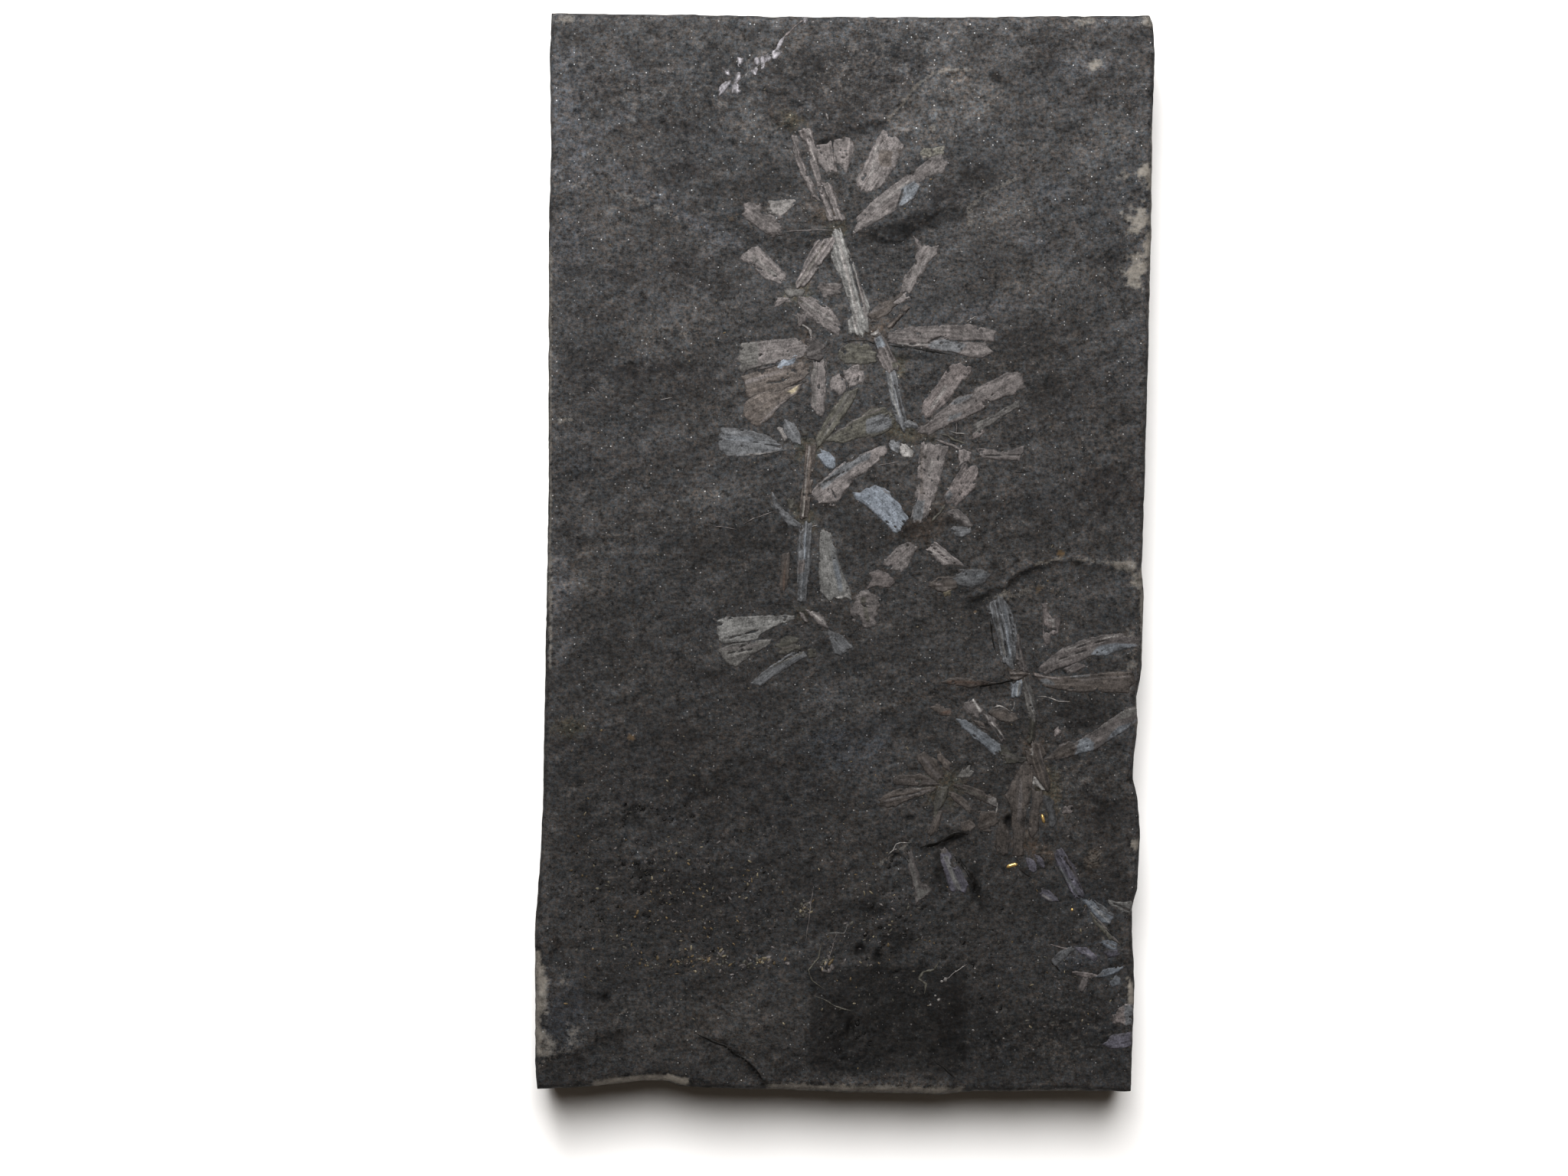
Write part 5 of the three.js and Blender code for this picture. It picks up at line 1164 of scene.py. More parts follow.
def stone_veil(x, y, z, tear):
    """The tone, the stains and the painted shade and light of the face, as one colour that the stone's own is
    multiplied by.
    """
    # painted shade in hollows and painted light on crests, from how far the face lies below or above a
    # blurred copy of itself
    hollow_shade_and_crest_light = np.clip((blurred(z, 12) - z) / 0.16, -1, 1)
    fx, fy = turned(x, y, FABRIC_TURN)
    mottle = 0.1 * noise(x, y, 14.0, 31) + 0.13 * noise(x, y, 4.4, 33) + 0.08 * noise(x, y, 2.0, 39)
    # paler upwards, partly dust and partly painted light falloff
    tone = dust_and_light_falloff(y) * (1 + mottle)
    tone = tone * (1 + 0.15 * noise(fx / 4, fy, 1.4, 32) + 0.13 * noise(fx / 3, fy, 0.6, 34))
    tone = tone * (1 + coarseness(x, y) * 0.16 * noise(x, y, 1.3, 38))
    tone = tone * (1 - 0.5 * np.clip(hollow_shade_and_crest_light, 0, 1)) * (1 + 0.35 * np.clip(-hollow_shade_and_crest_light, 0, 1))
    for box, loss in DARKER:
        tone = tone * (1 - loss * smooth(-0.3, 0.3, box_depth(x, y, box) + 0.15 * noise(x, y, 1.6, 35)))
    cool = 0.015 * noise(x, y, 9.0, 48) + 0.02 * noise(x, y, 1.6, 49) + 0.015 * smooth(-20, 60, y)
    veil = tone[..., None] * np.stack([1 - cool, np.ones(x.shape), 1 + cool], -1)
    for hue, spots in STAINS.items():
        for spot in spots:
            veil = tinted(veil, hue, 1 - smooth(0.3, 1.3, nearness(x, y, *spot) + 1.4 * tear))
    for outline, hue, softness in AREAS:
        veil = tinted(veil, hue, smooth(-softness, softness, depth_inside(x, y, outline) + 1.2 * tear))
    return veil


def stone_marks(x, y, z):
    """What the eye sees on the face: its tone, stains and painted shade as one colour, dust with painted
    light on step rims, and rust.
    """
    tear = 0.25 * noise(x, y, 1.4, 36) + 0.3 * noise(x, y, 0.55, 37)
    dust_and_step_light = np.zeros(x.shape)
    for *spot, strength in DUST:
        dust_and_step_light = np.maximum(dust_and_step_light, strength * (1 - smooth(0.5, 1.25, nearness(x, y, *spot) + 1.8 * tear)))
    # pale chipped edges and, along torn laminae, painted light on the lit rim of each step
    for line, half_width, strength in PALE_LINES:
        near = line_distance(x, y, line) / half_width
        dust_and_step_light = np.maximum(dust_and_step_light, strength * (1 - smooth(0.4, 1.4, near + 1.2 * tear)))
    rust = np.zeros(x.shape)
    for *spot, strength in RUST:
        rust = np.maximum(rust, strength * (1 - smooth(0.3, 1.3, nearness(x, y, *spot) + 1.5 * tear)))
    return stone_veil(x, y, z, tear), dust_and_step_light, rust


def sawn_sides(steps, rim_x, rim_y, rim_z, around):
    """The four sawn sides as rings of points from the face down, with their faces and the last ring."""
    out_x = (steps[:, 0] == COLUMNS) * 1.0 - (steps[:, 0] == 0)
    out_y = (steps[:, 1] == ROWS) * 1.0 - (steps[:, 1] == 0)
    count = len(steps)
    above = steps[:, 0] * (ROWS + 1) + steps[:, 1]
    places, faces = [], []
    for k, share in enumerate(SIDE_SHARES):
        z = rim_z * (1 - share)
        rough = SIDE_ROUGH * noise(around, z * 3 + 50 * out_x, 1.1, 42)
        rough = rough + SIDE_GRAIN * noise(around, z, 0.5, 43)
        bedding = np.sin(TURN * z / BEDDING_PITCH + 0.6 * noise(around, z, 8.0, 44))
        rough = rough - SIDE_GRAIN - BEDDING_DEPTH * (1 + bedding) / 2
        places.append(np.stack([rim_x + rough * out_x, rim_y + rough * out_y, z], -1))
        below = FACE_X.size + k * count + np.arange(count)
        faces.append(split(np.stack([above, below, np.roll(below, -1), np.roll(above, -1)], -1)))
        above = below
    return places, faces, above


def sawn_back(face_out_x, face_out_y):
    """Points of the flat back, a little in from the sides and with the saw's arcs."""
    x, y, rim = FACE_X[::FINER, ::FINER], FACE_Y[::FINER, ::FINER], RIM[::FINER, ::FINER]
    swirl = np.hypot(x - SAW_MIDDLE[0], y - SAW_MIDDLE[1])
    marks = SAW_MARK * (0.5 + 0.5 * np.sin(swirl * TURN / SAW_PITCH))
    marks = marks * np.clip(0.5 + noise(x, y, 30, 45), 0, 1)
    inward = BACK_INSET * (rim == 0)
    places = np.stack([
        x - inward * face_out_x[::FINER, ::FINER],
        y - inward * face_out_y[::FINER, ::FINER],
        marks * (rim > 0),
    ], -1)
    return places.reshape(-1, 3)


def back_seam(steps, above, back_start):
    """Faces between the last ring of the sides and the coarser rim of the back."""
    coarse = steps[::FINER] // FINER
    low = back_start + coarse[:, 0] * (BACK_ROWS + 1) + coarse[:, 1]
    half = FINER // 2
    faces = []
    for k, start in enumerate(low):
        end = low[(k + 1) % len(low)]
        fine = [above[(k * FINER + n) % len(above)] for n in range(FINER + 1)]
        faces += [(fine[n], start, fine[n + 1]) for n in range(half)]
        faces += [(fine[half], start, end)]
        faces += [(fine[n], end, fine[n + 1]) for n in range(half, FINER)]
    return np.array(faces)


def side_colors(steps, around, rim_z, back_count):
    """The stone's point attributes, over the face, the sides and the back in turn."""
    veil, dust_and_step_light, rust = stone_marks(FACE_X, FACE_Y, FACE_Z)
    others = len(SIDE_SHARES) * len(steps) + back_count
    side_tone = np.tile(1 + 0.12 * noise(around, rim_z, 6.0, 46), len(SIDE_SHARES))
    side_tone = np.concatenate([side_tone, np.full(back_count, BACK_TONE)])
    veil = np.concatenate([veil.reshape(-1, 3), side_tone[:, None] * np.ones(3)])
    sawn = np.concatenate([smooth(0.9, 0.1, RIM).ravel() * 0.5, np.ones(others)])
    # dust on the worn edge ends raggedly a little way down the sides
    ragged = np.clip(0.09 + 0.07 * noise(around, rim_z, 1.6, 47), 0.01, 1)
    rim_dust = dust_and_step_light[tuple(steps.T)]
    dust_rows = [rim_dust * np.clip(1.3 - share / ragged, 0, 1) for share in SIDE_SHARES]
    dust_and_step_light = np.concatenate([dust_and_step_light.ravel(), *dust_rows, np.zeros(back_count)])
    rust = np.concatenate([rust.ravel(), np.zeros(others)])
    return {"dust_and_step_light": dust_and_step_light, "rust": rust, "sawn": sawn}, {"veil": veil}


def make_stone():
    """The stone: face, four sawn sides and a flat sawn back, as one closed mesh."""
    steps = rim_steps(COLUMNS, ROWS)
    rim_x, rim_y, rim_z = (field[tuple(steps.T)] for field in (FACE_X, FACE_Y, FACE_Z))
    on_side = (steps[:, 0] % COLUMNS == 0) * 1.0
    on_end = (steps[:, 1] % ROWS == 0) * 1.0
    around = rim_x * on_end + rim_y * on_side
    out_x = (SHARE_U == 1) * 1.0 - (SHARE_U == 0)
    out_y = (SHARE_V == 1) * 1.0 - (SHARE_V == 0)
    inset = ARRIS_INSET * (1 + 0.5 * noise(FACE_X, FACE_Y, 1.3, 41))
    face = np.stack([FACE_X - inset * out_x, FACE_Y - inset * out_y, FACE_Z], -1).reshape(-1, 3)
    side_places, side_faces, above = sawn_sides(steps, rim_x, rim_y, rim_z, around)
    back = sawn_back(out_x, out_y)
    back_start = FACE_X.size + len(SIDE_SHARES) * len(steps)
    faces = [
        grid_faces(COLUMNS, ROWS, 0, False),
        *side_faces,
        grid_faces(BACK_COLUMNS, BACK_ROWS, back_start, True),
        back_seam(steps, above, back_start),
    ]
    numbers, colors = side_colors(steps, around, rim_z, len(back))
    stone = make_mesh(
        "siltstone_slab", np.concatenate([face, *side_places, back]), np.concatenate(faces), numbers, colors
    )
    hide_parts(NODE)
    return stone


def linked_cells(kept):
    """Cells to keep, with a cell added where two would touch at a corner only."""
    for _ in range(3):
        a, b, c, d = kept[:-1, :-1], kept[1:, 1:], kept[1:, :-1], kept[:-1, 1:]
        kept[1:, :-1] |= a & b & ~c & ~d
        a, b, c, d = kept[:-1, :-1], kept[1:, 1:], kept[1:, :-1], kept[:-1, 1:]
        kept[1:, 1:] |= c & d & ~a & ~b
    return kept


def sheet_body(x, y, top, bottom, kept):
    """A closed body from a grid: top and bottom over the kept cells, and walls round them."""
    count = x.size
    places = np.concatenate([
        np.stack([x, y, top], -1).reshape(-1, 3),
        np.stack([x, y, bottom], -1).reshape(-1, 3),
    ])
    index = np.arange(count).reshape(x.shape)
    a, b, c, d = index[:-1, :-1], index[1:, :-1], index[1:, 1:], index[:-1, 1:]
    quads = np.stack([a, b, c, d], -1)[kept]
    faces = [quads, quads[:, ::-1] + count]
    wide = np.pad(kept, 1)
    for gone, start, end in (
        (~wide[1:-1, :-2], a, b),
        (~wide[2:, 1:-1], b, c),
        (~wide[1:-1, 2:], c, d),
        (~wide[:-2, 1:-1], d, a),
    ):
        edge = kept & gone
        faces.append(np.stack([end[edge], start[edge], start[edge] + count, end[edge] + count], -1))
    faces = split(np.concatenate(faces))
    used, packed = np.unique(faces, return_inverse=True)
    return places[used], packed.reshape(-1, 3), used % count


def main_axis(outline):
    """The way an outline runs, in degrees, from the spread of points along its sides."""
    closed = np.array(list(outline) + [outline[0]])
    shares_along = np.linspace(0, 1, 12, endpoint=False)[:, None, None]
    points = (closed[:-1] + (closed[1:] - closed[:-1]) * shares_along).reshape(-1, 2)
    lengths = np.tile(np.hypot(*(closed[1:] - closed[:-1]).T), 12)
    points = points - np.average(points, axis=0, weights=lengths)
    spread = (points * lengths[:, None]).T @ points
    ax, ay = np.linalg.eigh(spread)[1][:, 1]
    return math.degrees(math.atan2(ay, ax))


def fibre_places(film_data, x, y):
    """Places along and across the fibres, and their direction: straight in stems, fanned out in leaves."""
    points = np.array(film_data["outline"])
    middle = np.mean(points, axis=0)
    degrees = main_axis(film_data["outline"])
    way = math.radians(degrees)
    if film_data["ribs"]:
        along, across = turned(x - middle[0], y - middle[1], degrees)
        return along, across, math.cos(way), math.sin(way)
    joint = min(JOINTS, key=lambda place: math.dist(place, middle))
    away = middle - joint
    axis = np.array([math.cos(way), math.sin(way)])
    length = np.ptp(points @ axis)
    width = np.ptp(points @ [-axis[1], axis[0]])
    if length < 1.35 * width:
        axis = away / max(math.hypot(*away), TINY)
    axis = axis * (1 if axis @ away > 0 else -1)
    apex = middle - axis * (length + FAN)
    radius = np.hypot(x - apex[0], y - apex[1])
    bearing = math.atan2(*(middle - apex)[::-1])
    turn = np.arctan2(y - apex[1], x - apex[0]) - bearing
    turn = (turn + math.pi) % TURN - math.pi
    return radius, turn * math.hypot(*(middle - apex)), (x - apex[0]) / radius, (y - apex[1]) / radius


def film_grid(outline):
    """A fine grid of places over a film, turned the way that its outline runs."""
    degrees = main_axis(outline)
    points = np.array([turned(px, py, degrees) for px, py in outline])
    low, high = points.min(0) - MARGIN, points.max(0) + MARGIN
    columns, rows = np.ceil((high - low) / FILM_CELL).astype(int)
    across = low[0] + np.arange(columns + 1) * FILM_CELL
    up = low[1] + np.arange(rows + 1) * FILM_CELL
    return turned(*np.meshgrid(across, up, indexing="ij"), -degrees)


def film_marks(film_data, x, y, height, fine, fibre, blotch, grain):
    """A film's height and tint once its patches, streaks, cracks and holes are in it."""
    tint = np.ones(x.shape + (1,)) * np.array(TINTS[film_data["tint"]])
    for kind, *mark in film_data["marks"]:
        if kind == "patch":
            other, outline = mark
            mask = smooth(-0.12, 0.12, depth_inside(x, y, outline) + 0.1 * blotch + 0.1 * fine)
            tint = tint + (np.array(TINTS[other]) - tint) * mask[..., None]
            continue
        width, line = mark[:2]
        near = line_distance(x, y, line) + 0.10 * grain * width + 0.06 * blotch
        mask = 1 - smooth(0.3 * width, 0.8 * width, near)
        if kind == "streak":
            mask = mask * np.clip(0.7 + 0.5 * fibre + 0.3 * fine, 0, 1)
            tint = tint + (np.array(TINTS[mark[2]]) - tint) * mask[..., None]
        else:
            height = height - (film_data["thick"] + CRACK_DIP) * mask
            tint = tint * (1 - CRACK_SHADE * mask[..., None])
    return height, tint


def film_body(film_data, seed):
    """One film as a closed body with torn ends, flaked patches, fibres, marks and colours."""
    outline = film_data["outline"]
    x, y = film_grid(outline)
    along, across, way_x, way_y = fibre_places(film_data, x, y)
    # each layer of unevenness has seeds of its own
    fine = noise(along / 12, across, 0.19, 100 + seed)
    fibre = noise(along / 8, across, 0.45, 200 + seed)
    blotch = noise(x, y, 1.1, 300 + seed)
    grain = noise(x, y, 0.3, 400 + seed)
    torn = 0.3 * noise(along / 6, across, 0.5, 500 + seed) + 0.12 * fine
    depth = depth_inside(x + way_x * torn, y + way_y * torn, outline) + 0.15 + 0.09 * blotch + 0.06 * grain
    flake = 0.5 * noise(along / 2.4, across, 0.5, 600 + seed) + 0.35 * blotch + 0.3 * grain + 0.15 * fine
    flake = flake + 0.3 * (1 - smooth(0, 0.7, depth))
    limit = np.quantile(flake[depth > 0], 1 - FLAKED * film_data["wear"])
    gone = smooth(limit - 0.05, limit + 0.06, flake)
    ribs = np.cos(TURN * across / RIB_SPACING + 0.8 * blotch) if film_data["ribs"] else 0
    height = (film_data["thick"] + EDGE_DIP) * smooth(-RIM_SOFT, 0.12, depth) - EDGE_DIP
    height = height + 0.03 * fibre + 0.02 * fine + RIB_HEIGHT * ribs
    height = np.where(depth > -0.05, height * (1 - gone) - FLAKE_DIP * gone, height)
    height, tint = film_marks(film_data, x, y, height, fine, fibre, blotch, grain)
    crack_line = np.exp(-((noise(along / 14, across, 0.55, 700 + seed) / 0.09) ** 2))
    crack_line = crack_line * smooth(-0.1, 0.4, blotch + 0.2)
    uneven = 0.13 * fine + 0.08 * fibre + 0.21 * blotch + 0.16 * grain - 0.22 * crack_line
    shade = (1 + film_data["calm"] * uneven) * film_data["light"] * (1 + RIB_SHADE * ribs)
    tint = tint * shade[..., None]
    edge = film_data["soft"] * (1 - smooth(0, 0.5, depth + 0.25 * fibre + 0.1 * grain))
    tint = tint + (np.array(STONE_TINT) - tint) * np.clip(edge + 0.7 * gone, 0, 0.92)[..., None]
    # the films are paler upwards too, partly dust and partly painted light falloff
    tint = np.clip(tint * dust_and_light_falloff(y)[..., None], 0.003, 0.9)
    corner = np.maximum.reduce([depth[:-1, :-1], depth[1:, :-1], depth[1:, 1:], depth[:-1, 1:]])
    u, v = shares((x[:-1, :-1] + x[1:, 1:]) / 2, (y[:-1, :-1] + y[1:, 1:]) / 2)
    inside_x, inside_y = np.minimum(u, 1 - u) * PLATE_WIDTH, np.minimum(v, 1 - v) * PLATE_HEIGHT
    kept = linked_cells((corner > -RIM_SOFT) & (inside_x > ON_PLATE) & (inside_y > ON_PLATE))
    stone = ground(x, y)
    places, faces, used = sheet_body(x, y, stone + height, stone - FILM_ROOT, kept)
    return places, faces, tint.reshape(-1, 3)[used], along.ravel()[used], across.ravel()[used]


def resampled(line, step):
    """Points about a step apart along a broken line, with the share of the way that each has gone."""
    line = np.array(line, float)
    lengths = np.hypot(*np.diff(line, axis=0).T)
    ends = np.concatenate([[0], np.cumsum(lengths)])
    count = max(int(ends[-1] / step), 2)
    at = np.linspace(0, ends[-1], count + 1)
    return np.stack([np.interp(at, ends, line[:, 0]), np.interp(at, ends, line[:, 1])], -1), at / ends[-1]


# A thread's section, as a share of its width and a share of its height
THREAD_SECTION = [(-0.5, -1.0), (-0.5, 0.3), (-0.2, 0.9), (0.15, 1.0), (0.5, 0.3), (0.5, -1.0)]
THREAD_ROOT = 0.3


def thread_body(line, width, tint, seed, height=0.08, uneven=0.35):
    """A closed ridge along a line, of uneven width and thinned at its ends."""
    points, gone = resampled(line, THREAD_STEP)
    way = np.gradient(points, axis=0)
    way = way / np.maximum(np.hypot(*way.T), TINY)[:, None]
    side = np.stack([-way[:, 1], way[:, 0]], -1)
    lumps = noise(points[:, 0], points[:, 1], 0.5, 500 + seed)
    points = points + side * (0.12 * noise(points[:, 0], points[:, 1], 1.2, 600 + seed))[:, None]
    taper = np.clip(np.minimum(gone, 1 - gone) * 6, 0.25, 1)
    widths = width * taper * (1 + uneven * lumps)
    rows = []
    for across, up in THREAD_SECTION:
        edge = points + side * (across * widths)[:, None]
        stone = ground(edge[:, 0], edge[:, 1])
        lift = np.where(up > 0, up * height * (1 + 0.5 * lumps) * taper, -THREAD_ROOT)
        rows.append(np.column_stack([edge, stone + lift]))
    ring = len(rows)
    places = np.stack(rows, 1).reshape(-1, 3)
    faces = []
    for k in range(len(points) - 1):
        for n in range(ring):
            a, b = k * ring + n, k * ring + (n + 1) % ring
            faces.append((a, b, b + ring, a + ring))
    faces = split(faces)
    last = (len(points) - 1) * ring
    caps = [(0, n + 1, n) for n in range(1, ring - 1)]
    caps += [(last, last + n, last + n + 1) for n in range(1, ring - 1)]
    color = np.array(TINTS[tint]) * (1 + 0.25 * np.repeat(lumps, ring))[:, None]
    along = np.repeat(gone * len(points) * THREAD_STEP, ring)
    return places, np.concatenate([faces, caps]), np.clip(color, 0.004, 0.9), along, places[:, 0] * 0


def crystal_body(x, y, size, tint, random, most=0.12, longest=1.0):
    """A low faceted grain set in the face, most mm high and drawn out longest times at most."""
    sides = 6
    turns = (np.arange(sides) + random.uniform(0, 1)) * TURN / sides
    radii = size * random.uniform(0.65, 1.15, sides)
    rim = np.stack([radii * np.cos(turns) * random.uniform(1, longest), radii * np.sin(turns)], -1)
    rim = np.stack(turned(rim[:, 0], rim[:, 1], random.uniform(0, 180)), -1) + [x, y]
    crown = np.array([x, y]) + (rim - [x, y]) * 0.45
    level = float(ground(np.array([x]), np.array([y]))[0])
    lift = min(0.45 * size, most)
    tilt = random.uniform(-0.35, 0.35, 2)
    crown_z = level + lift + (crown - [x, y]) @ tilt
    places = np.concatenate([
        np.column_stack([rim, np.full(sides, level - 0.3)]),
        np.column_stack([rim, ground(rim[:, 0], rim[:, 1]) + 0.01]),
        np.column_stack([crown, crown_z]),
    ])
    faces = []
    for n in range(sides):
        m = (n + 1) % sides
        faces += [(n, m, m + sides), (n, m + sides, n + sides)]
        faces += [(n + sides, m + sides, m + 2 * sides), (n + sides, m + 2 * sides, n + 2 * sides)]
    for n in range(1, sides - 1):
        faces += [(0, n + 1, n), (2 * sides, 2 * sides + n, 2 * sides + n + 1)]
    color = np.clip(np.array(TINTS[tint]) * random.uniform(0.6, 1.2), 0, 0.95)
    count = len(places)
    return places, np.array(faces), np.tile(color, (count, 1)), np.zeros(count), np.zeros(count)


def join_bodies(name, bodies, material):
    """Closed bodies as one piece."""
    counts = np.cumsum([0] + [len(body[0]) for body in bodies])
    places = np.concatenate([body[0] for body in bodies])
    faces = np.concatenate([body[1] + start for body, start in zip(bodies, counts)])
    tint, along, across = (np.concatenate([body[k] for body in bodies]) for k in (2, 3, 4))
    piece = make_mesh(name, places, faces, {"along": along, "across": across}, {"tint": tint})
    piece.data.materials.append(material)
    return piece


class Shader:
    """A node material being put together."""

    def __init__(self, name):
        self.material = bpy.data.materials.new(name)
        self.material.use_nodes = True
        self.tree = self.material.node_tree
        self.surface = self.tree.nodes["Principled BSDF"]

    def node(self, kind, settings=None, **inputs):
        made = self.tree.nodes.new("ShaderNode" + kind)
        for key, value in (settings or {}).items():
            setattr(made, key, value)
        for key, value in inputs.items():
            socket = made.inputs[int(key[1:]) if key[1:].isdigit() else key]
            if isinstance(value, bpy.types.NodeSocket):
                self.tree.links.new(value, socket)
            else:
                socket.default_value = value
        return made

    def math(self, operation, a, b=0.0):
        return self.node("Math", {"operation": operation}, i0=a, i1=b).outputs[0]

    def weighted(self, *parts):
        """The sum of some values, each times its weight."""
        total = self.math("MULTIPLY", *parts[0])
        for part in parts[1:]:
            total = self.math("ADD", total, self.math("MULTIPLY", *part))
        return total

    def color(self, name):
        return self.node("Attribute", {"attribute_name": name}).outputs["Color"]

    def grey(self, value):
        return self.node("CombineColor", None, i0=value, i1=value, i2=value).outputs[0]

    def number(self, name):
        return self.node("Attribute", {"attribute_name": name}).outputs["Fac"]

    def ramp(self, value, low, high, to_low=0.0, to_high=1.0):
        made = self.node("MapRange", None, i0=value, i1=low, i2=high, i3=to_low, i4=to_high)
        return made.outputs[0]

    def mix(self, share, a, b, blend="MIX"):
        made = self.node("Mix", {"data_type": "RGBA", "blend_type": blend}, i0=share, i6=a, i7=b)
        return made.outputs[2]

    def times(self, a, b):
        return self.mix(1.0, a, b, "MULTIPLY")

    def noise(self, place, scale, detail=2.0, rough=0.55):
        made = self.node("TexNoise", None, Vector=place, Scale=scale, Detail=detail, Roughness=rough)
        return made.outputs["Fac"]

    def place(self, turn=0.0, stretch=(1, 1, 1)):
        coords = self.node("TexCoord").outputs["Object"]
        made = self.node("Mapping", None, Vector=coords, Rotation=(0, 0, math.radians(turn)), Scale=stretch)
        return made.outputs[0]

    def link(self, output, name):
        self.tree.links.new(output, self.surface.inputs[name])


def stone_material():
    """Dark fine-grained siltstone: speckled grain, faint fabric, mica painted as glints, dust with painted
    light on step rims, and rust.
    """
    s = Shader("dark_siltstone")
    plain = s.place()
    grain = s.noise(plain, GRAIN_SCALE, 5.0, 0.8)
    fabric = s.noise(s.place(-26, (1, 3, 1)), FABRIC_SCALE, 4.0, 0.7)
    broad = s.noise(plain, BROAD_SCALE, 2.0, 0.5)
    mixed = s.weighted((grain, 0.62), (fabric, 0.22), (broad, 0.16))
    color = s.mix(s.ramp(mixed, 0.39, 0.61), GRAIN_DARK, GRAIN_LIGHT)
    hue = s.noise(s.place(40), CAST_SCALE, 2.0, 0.7)
    color = s.times(color, s.mix(s.ramp(hue, 0.36, 0.64), WARM_CAST, COOL_CAST))
    veil = s.color("veil")
    color = s.times(color, veil)
    # pale dust, and the painted light on the rims of torn steps, go first onto the lighter grains
    dust_and_light_edge = s.math("ADD", s.number("dust_and_step_light"), s.math("MULTIPLY", s.math("SUBTRACT", mixed, 0.5), 1.6))
    color = s.mix(s.math("MULTIPLY", s.ramp(dust_and_light_edge, 0.12, 0.95), DUST_AND_STEP_LIGHT_COVER), color, DUST_AND_STEP_LIGHT_COLOR)
    rust_edge = s.math("ADD", s.number("rust"), s.math("MULTIPLY", s.math("SUBTRACT", grain, 0.5), 1.4))
    color = s.mix(s.math("MULTIPLY", s.ramp(rust_edge, 0.2, 0.9), RUST_COVER), color, RUST_COLOR)
    # sawn faces are more even, with fine bedding lines
    bedding = s.noise(s.place(0, (0.04, 0.04, 1)), GRAIN_SCALE)
    sawn_color = s.mix(0.4, s.mix(s.ramp(bedding, 0.35, 0.65), SAWN_DARK, SAWN_LIGHT), color)
    color = s.mix(s.math("MULTIPLY", s.number("sawn"), SAWN_COVER), color, sawn_color)
    # grains of mica and quartz, painted pale as glints where they would catch the light
    cells = s.node("TexVoronoi", None, Vector=plain, Scale=MICA_SCALE)
    size = s.math("LESS_THAN", cells.outputs["Distance"], MICA_SIZE)
    chance = s.node("SeparateColor", None, i0=cells.outputs["Color"])
    glint_speck = s.math("MULTIPLY", size, s.math("GREATER_THAN", chance.outputs[0], MICA_FREE))
    glint_color = s.times(s.grey(s.ramp(chance.outputs[1], 0.0, 1.0, *MICA_GLINT_LIGHT)), veil)
    color = s.mix(s.math("MULTIPLY", glint_speck, MICA_COVER), color, glint_color)
    s.link(color, "Base Color")
    s.surface.inputs["Specular IOR Level"].default_value = STONE_GLOSS
    s.link(s.ramp(mixed, 0.4, 0.6, 0.70, 0.52), "Roughness")
    bump = s.node("Bump", None, Strength=0.9, Distance=0.00016, Height=mixed)
    s.link(bump.outputs[0], "Normal")
    return s.material


def film_material(name, roughness, strength):
    """A mineral film after a plant: its own tint, broken by fibres and fine grain."""
    s = Shader(name)
    drawn_out = s.math("MULTIPLY", s.number("along"), 0.12)
    fibre_place = s.node("CombineXYZ", None, i0=drawn_out, i1=s.number("across")).outputs[0]
    fibre = s.noise(fibre_place, 3.4, 3.0, 0.65)
    grain = s.noise(s.place(), 4600, 3.0, 0.7)
    medium = s.noise(s.place(), 1300, 2.0, 0.6)
    mixed = s.weighted((fibre, 0.25), (grain, 0.43), (medium, 0.32))
    s.link(s.times(s.color("tint"), s.grey(s.ramp(mixed, 0.38, 0.62, 0.4, 1.6))), "Base Color")
    s.surface.inputs["Specular IOR Level"].default_value = FILM_GLOSS
    s.link(s.ramp(mixed, 0.35, 0.65, roughness + 0.1, roughness - 0.1), "Roughness")
    bump = s.node("Bump", None, Strength=strength, Distance=0.0001, Height=mixed)
    s.link(bump.outputs[0], "Normal")
    return s.material


def make_films():
    """Every shoot as a piece of stems and a piece of leaves."""
    stem_film = film_material("stem_film", 0.55, 0.5)
    leaf_film = film_material("leaf_film", 0.58, 0.4)
    shoots = {
        "main_shoot_stem": (MAIN_STEMS, stem_film),
        "main_shoot_leaves": (MAIN_LEAVES, leaf_film),
        "left_shoot_stem": (LEFT_STEMS, stem_film),
        "left_shoot_leaves": (LEFT_LEAVES, leaf_film),
        "right_shoot_stem": (RIGHT_STEMS, stem_film),
        "right_shoot_leaves": (RIGHT_LEAVES, leaf_film),
        "rosette_leaves": (ROSETTE_LEAVES, leaf_film),
        "twin_leaves": (TWIN_LEAVES, leaf_film),
        "lower_shoot_stem": (LOWER_STEMS, stem_film),
        "lower_shoot_leaves": (LOWER_LEAVES, leaf_film),
    }
    seed = 0
    for name, (films, material) in shoots.items():
        bodies = []
        for film_data in films:
            seed += 1
            bodies.append(film_body(film_data, seed))
        join_bodies(name, bodies, material)


def make_crystals(random, mineral):
    """The white crystals low on the face, and loose bright grains of mica all over it whose pale tint is a
    painted glint.
    """
    crystals = [crystal_body(x, y, size, "light", random) for x, y, size in CRYSTALS]
    for _ in range(GRAINS):
        x, y = plan(*random.uniform(0.01, 0.99, 2))
        tint = random.choice(GRAIN_TINTS)
        crystals.append(crystal_body(float(x), float(y), random.uniform(*GRAIN_SIZES), tint, random))
    join_bodies("bright_grains", crystals, mineral)


